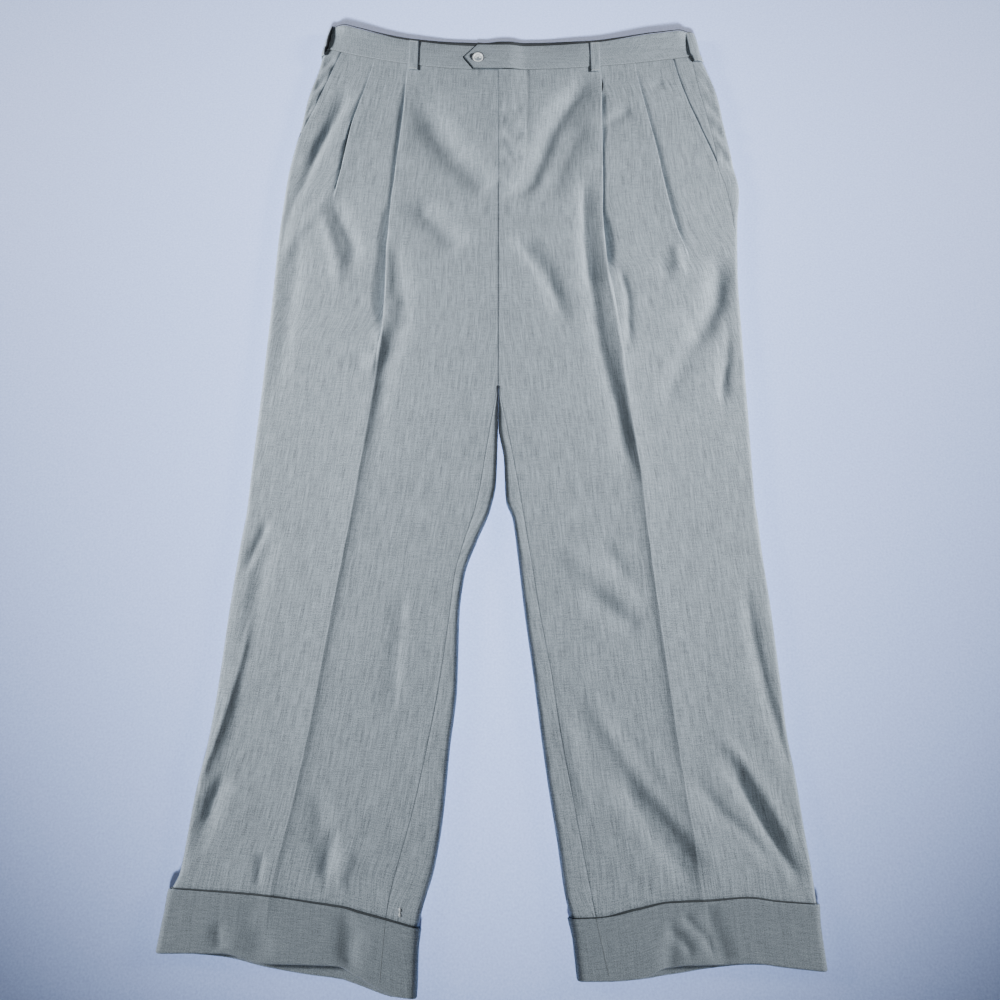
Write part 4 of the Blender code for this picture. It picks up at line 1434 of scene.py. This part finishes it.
    def build(self) -> None:
        """Make the back, the pocket facing, the front and the cuff."""
        top, back = WAIST - SEAM / 2, f"cloth_back_{self.side.name}"
        form = Form(self.side, self.lengths(LEG_END, top))
        u, z = form.back()
        self.panel("back", form.sheet(u, z, u.shape[1] // 2))
        facing = Form(self.side, self.lengths(self.side.pocket_end + self.facing_start, top))
        u, z = facing.facing()
        self.panel("pocket_facing", facing.sheet(u, z, 0).moved(-facing.facing_drop(u)))
        u, z, fold = form.front()
        self.panel("front", form.sheet(u, z, fold))
        self.build_cuff()


@dataclass
class Waistband:
    """One half of the doubled waistband; the left one ends in the pointed tab.

    Each wave has a height, a length, a start and a slant up the band.
    """

    side: Side
    finishes: Finishes
    tab_foot: float = -32.0
    tab_tip: float = -44.0
    tab_top: float = -27.0
    tab_middle: float = 0.45
    tab_root: float = -12.0
    underlap: float = -6.0
    underlap_root: float = -1.5
    close_end: float = 40.0
    step_start: float = 12.0
    step_end: float = 36.0
    raised: float = BAND_CLOTH + 0.5
    sag: float = 5.0
    sag_level: float = 50.0
    sag_end: float = 115.0
    sag_shift: float = 0.9
    rise: float = 6.0
    rise_start: float = 110.0
    rise_run: float = 90.0
    rise_end: float = 16.0
    side_inset: float = 1.5
    waves: tuple[tuple[float, ...], ...] = ((0.28, 17.0, 1.3, 0.0), (0.22, 9.5, 0.0, 4.0))
    wave_run: float = 30.0
    edge_roll: float = 1.6
    end_roll: float = 1.2
    least: float = 0.35
    seam_radius: float = 0.38
    seam_place: tuple[float, float, float] = (0.0, -0.2, 0.4)
    seam_start: float = 23.0
    # Offset of the cord of painted shade behind the band's top edge.
    lining_place: tuple[float, float, float] = (0.0, 2.4, -0.2)
    # Size and place of the tab's cord of painted shadow.
    tab_gap: float = 0.75
    tab_gap_place: tuple[float, float, float] = (-0.7, 0.0, -0.9)
    tab_gap_rise: float = 1.3

    def lean(self, u: Any, share: Any) -> Any:
        """How far the upper layer sinks between the hips and rises over them, towards its top.

        Args:
            u: distances out from the centre.
            share: shares of the band's depth.

        Returns:
            The change of height.
        """
        sunk = self.sag * (1 - smooth((np.abs(u) - self.sag_level) / (self.sag_end - self.sag_level)))
        flat_end = self.side.half_waist - WAIST_FLAT
        risen = smooth((u - self.rise_start) / self.rise_run) * smooth((flat_end - u) / self.rise_end)
        return (self.rise * risen - sunk) * np.clip(share, 0, 1) ** 2

    def outer(self, v: np.ndarray) -> np.ndarray:
        """Where the band's side edge lies at lengths v; it narrows towards its top."""
        foot = self.side.half_waist - self.side_inset
        return foot + (self.side.band_top - foot) * (v - WAIST) / BAND_DEPTH

    def wrap(self, outer: np.ndarray, steps: int = 20) -> tuple[np.ndarray, np.ndarray]:
        """The band's line round the side: half an ellipse from the front's flat to the floor.

        Args:
            outer: the side edge's distance, row by row.
            steps: steps round the side.

        Returns:
            Distances u and heights z.
        """
        middle = (BAND_LEVEL + BAND_CLOTH / 2) / 2
        angle = np.linspace(math.pi / 2, -math.pi / 2, steps + 1)
        z = middle + (BAND_LEVEL - middle) * np.sin(angle)
        return outer - BAND_ROLL * (1 - np.cos(angle)), np.broadcast_to(z, (len(outer), steps + 1))

    def front_end(self, share: np.ndarray) -> np.ndarray:
        """Front end of the band.

        Args:
            share: shares of the band's depth.

        Returns:
            The distance u at each of them.
        """
        if self.side is RIGHT:
            return np.full(share.shape, self.underlap)
        return np.interp(share, (0, self.tab_middle, 1), (self.tab_foot, self.tab_tip, self.tab_top))

    def sheet(self) -> tuple[Sheet, np.ndarray, np.ndarray]:
        """The band's middle surface.

        Returns:
            The surface, the distance of each point from the front end, and from the nearer long edge.
        """
        near, even = np.array([0.0, 0.25, 0.7, 1.4, 2.6]), np.linspace(4, BAND_DEPTH - 4, 13)
        tip = [self.tab_middle * BAND_DEPTH]
        depth = np.unique(np.concatenate((near, even, BAND_DEPTH - near, tip)))
        share = (depth / BAND_DEPTH).reshape(-1, 1)
        v = WAIST + SEAM / 2 + (BAND_DEPTH - SEAM / 2) * share
        wrap_u, wrap_z = self.wrap(self.outer(v) - BAND_CLOTH / 2)
        end = self.front_end(share)
        root = self.tab_root if self.side is LEFT else self.underlap_root
        corner = np.minimum(self.side.half_waist - WAIST_FLAT, wrap_u[:, :1] - 3)
        close = np.concatenate(([0, 0.01, 0.03, 0.08, 0.15], np.linspace(0.25, 1, 7)))
        start = end + (root - end) * close
        flat = np.linspace(root + 2, self.close_end, 22) * np.ones_like(end)
        rest = self.close_end + (corner - self.close_end) * np.linspace(0, 1, 61)[1:]
        front_u = np.hstack((start, flat, rest))
        lean, step = self.lean(front_u, share), 0.0
        if self.side is LEFT:
            down = smooth((front_u - self.step_start) / (self.step_end - self.step_start))
            step = self.raised * (1 - down)
        front_z = BAND_LEVEL + step + self.swell(front_u, share) + lean
        floor_u = wrap_u[:, -1:] + (SEAM / 2 - wrap_u[:, -1:]) * np.linspace(0, 1, 31)[1:]
        floor_z = np.full(floor_u.shape, BAND_CLOTH / 2)
        u, z = np.hstack((front_u, wrap_u, floor_u)), np.hstack((front_z, wrap_z, floor_z))
        points = placed(self.side, u, v, z, np.clip((z - HALF) / (BAND_LEVEL - HALF), 0, 1))
        points[:, :front_u.shape[1], 1] += self.sag_shift * np.maximum(-lean, 0)
        across = walked(points)
        along = np.broadcast_to(share * BAND_DEPTH, u.shape)
        return Sheet(points, along, across, self.side.sign), across, np.minimum(along, BAND_DEPTH - along)

    def swell(self, u: np.ndarray, share: np.ndarray) -> np.ndarray:
        """The padded band's soft waves: long sines that die at its two edges and its tip.

        Args:
            u: distances out from the centre.
            share: shares of the band's depth.

        Returns:
            The added height.
        """
        total = np.zeros(np.broadcast(u, share).shape)
        for height, length, start, slant in self.waves:
            total = total + height * np.sin(u / length + start + slant * share)
        return total * np.sin(math.pi * share) * smooth((u - self.tab_tip) / self.wave_run)

    def build(self) -> None:
        """Make the band, thinner towards its rounded edges."""
        sheet, from_end, from_edge = self.sheet()
        share = rim(from_edge, self.edge_roll, self.least) * rim(from_end, self.end_roll, self.least)
        half = BAND_CLOTH / 2 * share
        cloth_shell(f"waistband_{self.side.name}", sheet, half, half, self.finishes.band)
        self.outline(sheet)

    def outline(self, sheet: Sheet) -> None:
        """The band's lower seam, whose cord also paints the seam's shade, and cords of painted shade behind
        its top edge and round the tab.

        Args:
            sheet: the band's middle surface.
        """
        name, dark = self.side.name, self.finishes.tack
        u = self.side.sign * (sheet.points[..., 0] - CENTRE[0])
        last = int(np.argmax(u[0])) - 4
        first = 0 if self.side is LEFT else int(np.argmax(u[0] > self.seam_start))
        # The lower seam's line is one thread-grey cord: the seam and painted shade in it together.
        low = sheet.points[0, first:last] + self.seam_place
        cord(f"seam_band_{name}", low, np.full(len(low), self.seam_radius), self.finishes.thread)
        # Painted shade: a near-black cord behind the band's top edge stands for the shade in the gap there,
        # laid like the edge of a dark lining.
        top = sheet.points[-1, first:last] + self.lining_place
        cord(f"lining_band_{name}", top, self.side.lining_edge.straight("radius", u[-1, first:last]), dark)
        # Painted shadow: a near-black cord along the tab's pointed end stands for the shadow round it.
        if self.side is LEFT:
            end, share = sheet.points[:, 0] + self.tab_gap_place, np.linspace(0, 1, len(sheet.points))
            end[:, 1] += self.tab_gap_rise * smooth((share - 0.4) / 0.1)
            cord("shade_tab_left", end, np.full(len(end), self.tab_gap), dark)


class LoopPlace(Enum):
    """Where a belt loop is sewn."""

    FRONT = "front"
    SIDE = "side"


@dataclass
class BeltLoop:
    """A folded strip sewn across the band at its two ends, with a bar tack at each."""

    band: Waistband
    place: LoopPlace
    width: float = 12.0
    cloth: float = 1.1
    arch: float = 0.22
    side_arch: float = 1.5
    foot: float = 1021.0
    head: float = WAIST + BAND_DEPTH - 0.8
    clear: float = 0.15
    edge_roll: float = 1.0
    edge_least: float = 0.3
    end_roll: float = 0.8
    end_least: float = 0.4
    tack_inset: float = 1.2
    tack_count: int = 17
    tack_length: float = 2.4
    tack_radius: float = 0.34
    # Radius of the cord of painted shade under the right side loop.
    gap_radius: float = 2.1

    def sheet(self) -> Sheet:
        """The loop's middle surface: a strip of the band's line, moved out in an arch.

        Returns:
            The surface.
        """
        side, at_side = self.band.side, self.place is LoopPlace.SIDE
        near = np.array([0.004, 0.012])
        share = np.unique(np.concatenate((np.linspace(0, 1, 27), near, 1 - near))).reshape(-1, 1)
        v = self.foot + (self.head - self.foot) * share
        outside = np.where(v < WAIST, side.leg.at("outer", v) + self.clear, self.band.outer(v))
        wrap_u, wrap_z = self.band.wrap(outside - BAND_CLOTH / 2, 60)
        line_u = np.hstack((np.zeros_like(v), wrap_u))
        line_z = np.hstack((np.full_like(v, BAND_LEVEL), wrap_z))
        reach = walked(np.stack((line_u, line_z), axis=2))
        middle = side.front_loop
        if at_side:
            middle = np.take_along_axis(reach, np.argmax(line_u, axis=1)[:, None], axis=1) - side.side_loop
        edge = np.array([0.5, 0.47, 0.42])
        across = self.width * np.concatenate((-edge, np.linspace(-0.33, 0.33, 7), edge[::-1]))
        place = np.broadcast_to(middle + across, (len(v), len(across)))
        u, z = (np.array([np.interp(at, row, line) for at, row, line in zip(place, reach, lines)])
                for lines in (line_u, line_z))
        points = placed(side, u, v, z, np.clip((z - HALF) / (BAND_LEVEL - HALF), 0, 1))
        across, along = np.broadcast_arrays(across, v - WAIST)
        strip = Sheet(points, across, along, side.sign)
        arch = (self.arch + self.side_arch * at_side) * np.sin(math.pi * share) ** 0.8
        strip = strip.moved(BAND_CLOTH / 2 + self.clear + self.cloth / 2 + arch)
        strip.points[..., 2] = np.maximum(strip.points[..., 2], self.cloth / 2)
        return strip

    def build(self, finishes: Finishes) -> None:
        """Make the loop, its two bar tacks and, under the right side loop, a dark cord of painted shade.

        Args:
            finishes: the cloth and threads.
        """
        sheet, side = self.sheet(), self.band.side
        name = f"belt_loop_{self.place.value}_{side.name}"
        width = sheet.across - sheet.across.mean(axis=1, keepdims=True)
        share = rim(self.width / 2 - np.abs(width), self.edge_roll, self.edge_least)
        end = np.minimum(sheet.along - sheet.along[0, 0], sheet.along[-1, 0] - sheet.along)
        half = self.cloth / 2 * (share * rim(end, self.end_roll, self.end_least))
        cloth_shell(name, sheet, half, half, finishes.wool)
        face = sheet.moved(self.cloth / 2).points
        tacks = []
        for line in face[[3, -4]]:
            at = np.linspace(self.tack_inset, walked(line)[-1] - self.tack_inset, self.tack_count)
            tacks.append(resampled(line, at))
        thread_stitches(f"tack_{name}", np.vstack(tacks), UP, self.tack_length, self.tack_radius,
                        finishes.pale)
        # Painted shade: a near-black cord along the right side loop's edge stands for the shade under it.
        if self.place is LoopPlace.SIDE and side is RIGHT:
            gap = sheet.points[:, 0] + (0.0, 0.0, 0.6)
            size = self.gap_radius * np.sin(math.pi * np.linspace(0, 1, len(gap))) ** 0.7 + 0.05
            cord(f"gap_{name}", gap, size, finishes.tack)


@dataclass
class Sewing:
    """The fly's and pockets' top stitching, and near-black cords of painted shade along the left side seam
    and in the pleats' gaps.
    """

    finishes: Finishes
    stitch: float = 2.3
    pitch: float = 3.2
    radius: float = 0.28
    fly: tuple[tuple[float, float], ...] = (
        (36.2, 1026), (35.6, 943), (34.8, 905), (32, 880), (26, 862), (16.5, 845), (8, 835), (2, 829))
    # Radii of the cords of painted shade in the pleats' gaps, by v.
    right_gap: Table = Table("""
        v radius
        850 0.2
        872 0.6
        890 1.0
        908 1.3
        926 1.2
        945 0.7
        968 0.4
        984 0.2
    """)
    left_gap: Table = Table("""
        v radius
        990 0.2
        996 0.8
        1001 1.1
        1005 0.6
        1010 0.2
    """)
    gap_rise: float = 0.5
    seam_start: float = 760.0
    seam_radius: float = 0.3
    raised: float = 0.08
    seam_fade: float = 60.0
    mouth_inset: float = 6.5
    passes: int = 30

    def gap(self, name: str, side: Side, sizes: Table, number: int) -> None:
        """A near-black cord of painted shade in the gap at the foot of a pleat.

        Args:
            name: the piece's name.
            side: the half that the pleat is on.
            sizes: the half widths of the painted shade.
            number: 0 for the main pleat and 1 for the side one.
        """
        v = np.linspace(sizes.at_length[0], sizes.at_length[-1], 48)
        radius, form = sizes.straight("radius", v), Form(side, v)
        pleat = form.pleats[number]
        u = pleat.end + pleat.under + radius.reshape(-1, 1)
        path = placed(side, u, form.v, form.height(u, number + 1) + HALF + self.gap_rise)
        cord(name, path[:, 0], radius, self.finishes.tack)

    def side_seam(self) -> None:
        """The left side seam: a near-black cord of painted shade in the seam, whose middle lies a little
        below the cloth's face.
        """
        v = np.linspace(self.seam_start, WAIST - 2, 68)
        form = Form(LEFT, v)
        path = placed(LEFT, form.seam, form.v, form.height(form.seam, 2) + HALF - self.seam_radius)
        radius = self.seam_radius * smooth((v - self.seam_start) / self.seam_fade)
        cord("shade_seam_side_left", path[:, 0], np.maximum(radius, 0.02), self.finishes.tack)

    def run(self, name: str, side: Side, path: np.ndarray, zone: int) -> None:
        """Stitches at an even pitch along a path on a front panel.

        The path is first eased: in each pass every point moves halfway to the mean
        of its neighbours.

        Args:
            name: the piece's name.
            side: the half that it is sewn on.
            path: u and v of its corners.
            zone: 0 before the pleats and 2 beyond both.
        """
        fine, knots = np.linspace(0, len(path) - 1, 400), np.arange(len(path))
        line = np.stack([np.interp(fine, knots, part) for part in path.T], axis=1)
        for _ in range(self.passes):
            line[1:-1] = (line[:-2] + 2 * line[1:-1] + line[2:]) / 4
        u, v = resampled(line, np.arange(2, walked(line)[-1] - 1, self.pitch)).T
        form, u = Form(side, v), u.reshape(-1, 1)
        points = placed(side, u, form.v, form.height(u, zone) + HALF + self.raised)[:, 0]
        thread_stitches(name, points, directions(points), self.stitch, self.radius, self.finishes.thread)

    def build(self) -> None:
        """Sew the fly and both pocket mouths, and lay the cords of painted shade in the pleats' gaps and
        along the side seam.
        """
        self.run("stitches_fly", LEFT, np.array(self.fly), 0)
        self.gap("shade_pleat_right", RIGHT, self.right_gap, 1)
        self.gap("shade_pleat_left", LEFT, self.left_gap, 0)
        self.side_seam()
        for side in (LEFT, RIGHT):
            v = np.linspace(WAIST - 3, side.pocket_end + 18, 24)
            path = np.column_stack((side.leg.at("pocket", v) - self.mouth_inset, v))
            self.run(f"stitches_pocket_{side.name}", side, path, 2)


@dataclass
class WaistButton:
    """A turned button with a rounded rim and four holes, sewn on the tab.

    The profile gives the rim's distances from the axis and its heights, as shares
    of the radius and the height.
    """

    finishes: Finishes
    u: float = -26.0
    v: float = 1046.0
    radius: float = 6.8
    height: float = 2.4
    hole_circle: float = 1.9
    hole: float = 0.75
    pit: float = 1.5
    sunk: float = 2.2
    tilt: float = -0.12
    turn: float = math.pi / 4 + 0.2
    dish: float = 0.47
    dish_rise: float = 0.03
    dish_radius: float = 5.0
    pit_edge: float = 0.15
    raised: float = 2.9
    bar_shift: float = 0.22
    bar_length: float = 4.4
    bar_radius: float = 0.26
    seam_width: float = 1.15
    seam_start: float = 0.4
    seam_length: float = 6.0
    seam_pitch: float = 0.62
    profile: tuple[tuple[float, float], ...] = (
        (0.86, 0.0), (0.95, 0.08), (1.0, 0.3), (1.0, 0.6), (0.985, 0.82), (0.95, 0.95),
        (0.9, 1.0), (0.85, 0.99), (0.8, 0.93), (0.75, 0.78), (0.7, 0.6), (0.64, 0.5))

    def centre(self) -> np.ndarray:
        """The middle of the button's underside."""
        tab = BAND_LEVEL + self.raised + BAND_CLOTH / 2
        return placed(LEFT, self.u, self.v, tab + 0.25 - self.sunk)

    def build(self) -> None:
        """A profile turned about the button's axis, with a pit pressed in for each hole.

        Height over the sunk centre is the profile's, less a bell-edged pit within
        the hole's radius of each of the four hole centres.
        """
        inner = np.linspace(0.6, 0.02, 30)
        profile = np.vstack((self.profile, np.column_stack((inner, self.dish + self.dish_rise * inner))))
        angle = np.linspace(0, 2 * math.pi, 97)[:-1]
        r = profile[:, :1] * self.radius
        x, y = r * np.cos(angle), r * np.sin(angle)
        z = profile[:, 1:] * self.height * np.ones_like(x)
        for turn in self.turn + np.arange(4) * math.pi / 2:
            away = np.hypot(x - self.hole_circle * math.cos(turn), y - self.hole_circle * math.sin(turn))
            pressed = self.pit * smooth((self.hole + self.pit_edge - away) / (2 * self.pit_edge))
            z = z - np.where(r < self.dish_radius, pressed, 0)
        points = np.stack((x, y, z - self.tilt * y), axis=2) + self.centre()
        rows, columns = x.shape
        flat = np.vstack((points.reshape(-1, 3), self.centre(), points[-1].mean(axis=0)))
        ends, last = np.arange(columns), (rows - 1) * columns
        after, middle = (ends + 1) % columns, np.full(columns, rows * columns)
        fan = np.column_stack((after, ends, middle)).tolist()
        cap = np.column_stack((last + ends, last + after, middle + 1)).tolist()
        mesh = bpy.data.meshes.new("button_waist")
        mesh.from_pydata((flat * MM).tolist(), [], quads_of(rows, columns, True)[0].tolist() + fan + cap)
        mesh.update()
        piece = finished("button_waist", mesh, self.finishes.pearl, 50.0)
        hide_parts("waist_button")
        self.sew()

    def sew(self) -> None:
        """The thread through the holes, the buttonhole beside with a dark cord of painted shade in its slit,
        a near-black ring of painted shadow round the rim and a grey ring of painted shade in the groove.
        """
        centre, thread, dark = self.centre(), self.finishes.thread, self.finishes.tack
        angle = np.repeat((self.turn, self.turn + math.pi / 2), 2)
        along = np.column_stack((np.cos(angle), np.sin(angle), np.zeros(4)))
        across = np.column_stack((-along[:, 1], along[:, 0], np.zeros(4)))
        across = across * np.tile((-self.bar_shift, self.bar_shift), 2)[:, None]
        bars = centre + across + (0, 0, self.height * self.dish + 0.25)
        thread_stitches("thread_button", bars, along, self.bar_length, self.bar_radius, thread)
        top, start = centre[2] + 1.05, self.u + self.radius + self.seam_start
        at = np.arange(start, start + self.seam_length, self.seam_pitch)
        edge = centre[1] + np.repeat((-self.seam_width, self.seam_width), len(at))
        seam = np.column_stack((np.tile(at + CENTRE[0], 2), edge, np.full(len(edge), top)))
        thread_stitches("thread_buttonhole", seam, UP, 1.9, 0.3, thread)
        angle = np.linspace(0, 2 * math.pi, 61)
        # Rings of painted shadow round the rim and of painted shade in the groove.
        lines = (("rim", 1.09, 0.6, 1.8, dark), ("groove", 0.62, 0.32, 1.1, thread))
        for kind, share, size, rise, finish in lines:
            x, y = share * self.radius * np.cos(angle), share * self.radius * np.sin(angle)
            ring = np.column_stack((x, y, rise - self.tilt * y)) + centre
            cord(f"{kind}_button", ring, np.full(len(ring), size), finish)
        # Painted shade: a near-black cord along the buttonhole's slit.
        slit = np.array([(start + self.seam_length / 2 + CENTRE[0] - 0.5, centre[1], top + 0.05)])
        thread_stitches("slit_buttonhole", slit, np.array((1.0, 0.0, 0.0)), self.seam_length, 0.35, dark)


@dataclass(frozen=True)
class SoftBox:
    """A rectangular lamp that looks at a place on the centre line.

    It lights only the pieces whose names have one of its ends; "" stands for a
    name without an end of its own.
    """

    name: str
    place: tuple[float, float, float]
    size: tuple[float, float]
    power: float
    spread: float
    look: float
    ends: tuple[str, ...]
    tint: tuple[float, float, float] = (1.0, 1.0, 1.0)

    def build(self) -> None:
        """Hang the lamp, turn it towards its place and list what it lights."""
        lamp = bpy.data.lights.new(self.name, "AREA")
        lamp.shape = "RECTANGLE"
        lamp.size, lamp.size_y = self.size
        lamp.energy, lamp.color, lamp.spread = self.power, self.tint, math.radians(self.spread)
        item = bpy.data.objects.new(self.name, lamp)
        bpy.context.collection.objects.link(item)
        x, y, z = self.place
        item.location = self.place
        turn = math.atan2(-x, y - self.look) + math.pi
        item.rotation_euler = (math.atan2(math.hypot(x, y - self.look), z), 0.0, turn)
        lit = bpy.data.collections.new(f"lit_by_{self.name}")
        for piece in bpy.context.scene.objects:
            end = next((e for e in ("_left", "_right", "floor") if piece.name.endswith(e)), "")
            if piece.type == "MESH" and end in self.ends:
                lit.objects.link(piece)
        item.light_linking.receiver_collection = lit


@dataclass
class Studio:
    """The floor, the lights and the camera: three lamps light the cloth and three the floor.

    Its sizes are in metres.
    """

    height: float = 0.793
    back: float = -0.3358
    across: float = 0.0084
    tilt: float = 17.35
    focal_pixels: float = 780.0
    image: int = 1000
    sensor: float = 36.0
    floor_half: float = 4.0
    floor_level: float = -0.0003
    sky: tuple[float, float, float, float] = (0.82, 0.86, 0.95, 1.0)
    sky_strength: float = 0.05
    lamps: tuple[SoftBox, ...] = (
        SoftBox("light_left", (-2.0, 0.16, 1.02), (0.4, 0.4), 12.5, 62.0, 0.16, ("_right", "")),
        SoftBox("light_right", (2.0, 0.16, 1.02), (0.4, 0.4), 12.5, 62.0, 0.16, ("_left", "")),
        SoftBox("light_low", (0.0, -1.9, 1.3), (0.6, 0.4), 0.8, 40.0, 0.1, ("_left", "_right", "")),
        SoftBox("floor_left", (-2.0, 0.5, 0.85), (0.4, 0.4), 4.2, 58.0, 0.4, ("floor",), (1.0, 0.97, 0.92)),
        SoftBox("floor_right", (2.0, 0.5, 0.85), (0.4, 0.4), 4.2, 58.0, 0.4, ("floor",), (1.0, 0.97, 0.92)),
        SoftBox("floor_low", (0.0, -1.7, 1.3), (0.3, 0.2), 26.0, 54.0, 1.0, ("floor",), (0.66, 0.79, 1.0)))

    def build(self) -> None:
        """Lay the floor, hang the lamps and set the room's light and the camera."""
        self.floor()
        for lamp in self.lamps:
            lamp.build()
        world = bpy.data.worlds.new("soft_room")
        bpy.context.scene.world = world
        world.use_nodes = True
        background = world.node_tree.nodes["Background"]
        background.inputs["Color"].default_value = self.sky
        background.inputs["Strength"].default_value = self.sky_strength
        self.camera()

    def floor(self) -> None:
        """A plain pale surface just under the trousers."""
        mesh = bpy.data.meshes.new("floor")
        half, level = self.floor_half, self.floor_level
        corners = [(-half, -half, level), (half, -half, level), (half, half, level), (-half, half, level)]
        mesh.from_pydata(corners, [], [(0, 1, 2, 3)])
        cloth = FleckFinish("pale_surface", (0.35, 0.41, 0.68), (0.63, 0.72, 1.0), (460.0,) * 3, 2.0, 0.95)
        mesh.materials.append(cloth.material())
        floor = bpy.data.objects.new("floor", mesh)
        bpy.context.collection.objects.link(floor)

    def camera(self) -> None:
        """Look down at the trousers, tilted towards the waist."""
        data = bpy.data.cameras.new("camera")
        data.sensor_width = self.sensor
        data.lens = self.focal_pixels / self.image * self.sensor
        data.clip_start, data.clip_end = 0.01, 20.0
        camera = bpy.data.objects.new("camera", data)
        camera.location = (self.across, self.back, self.height)
        camera.rotation_euler = (math.radians(self.tilt), 0.0, 0.0)
        bpy.context.collection.objects.link(camera)
        bpy.context.scene.camera = camera


def main() -> None:
    """Dress the trousers, piece by piece."""
    logging.basicConfig(level=logging.INFO, format="%(name)s: %(message)s")
    finishes = Finishes(
        wool=WoolFinish("wool_melange").material(),
        band=WoolFinish("wool_band", streak=0.5, strength=1.15).material(),
        # A darker copy of the wool: painted shade for the dimmer light at the hems, with fainter streaks.
        cuff=WoolFinish("wool_cuff_shaded", (0.082, 0.099, 0.113), (0.375, 0.448, 0.514), streak=0.5,
                        strength=0.85).material(),
        thread=FleckFinish("thread_grey", (0.13, 0.15, 0.16), (0.24, 0.27, 0.29)).material(),
        pale=FleckFinish("thread_pale", (0.42, 0.47, 0.50), (0.62, 0.68, 0.72)).material(),
        pearl=FleckFinish("pearl_button", (0.44, 0.48, 0.50), (0.78, 0.83, 0.86), (240.0, 180.0, 240.0),
                          3.0, 0.28).material(),
        # Near-black for every cord of painted shade and painted shadow.
        tack=FleckFinish("painted_shade_dark", (0.022, 0.027, 0.032), (0.045, 0.052, 0.06)).material(),
        # Dark grey for the cuffs' cords of painted shade.
        shade=FleckFinish("painted_shade_grey", (0.05, 0.06, 0.067), (0.08, 0.094, 0.105)).material(),
    )
    for side in (LEFT, RIGHT):
        TrouserHalf(side, finishes).build()
    for side in (LEFT, RIGHT):
        band = Waistband(side, finishes)
        band.build()
        for place in LoopPlace:
            BeltLoop(band, place).build(finishes)
    Sewing(finishes).build()
    WaistButton(finishes).build()
    Studio().build()


if __name__ == "__main__":
    main()
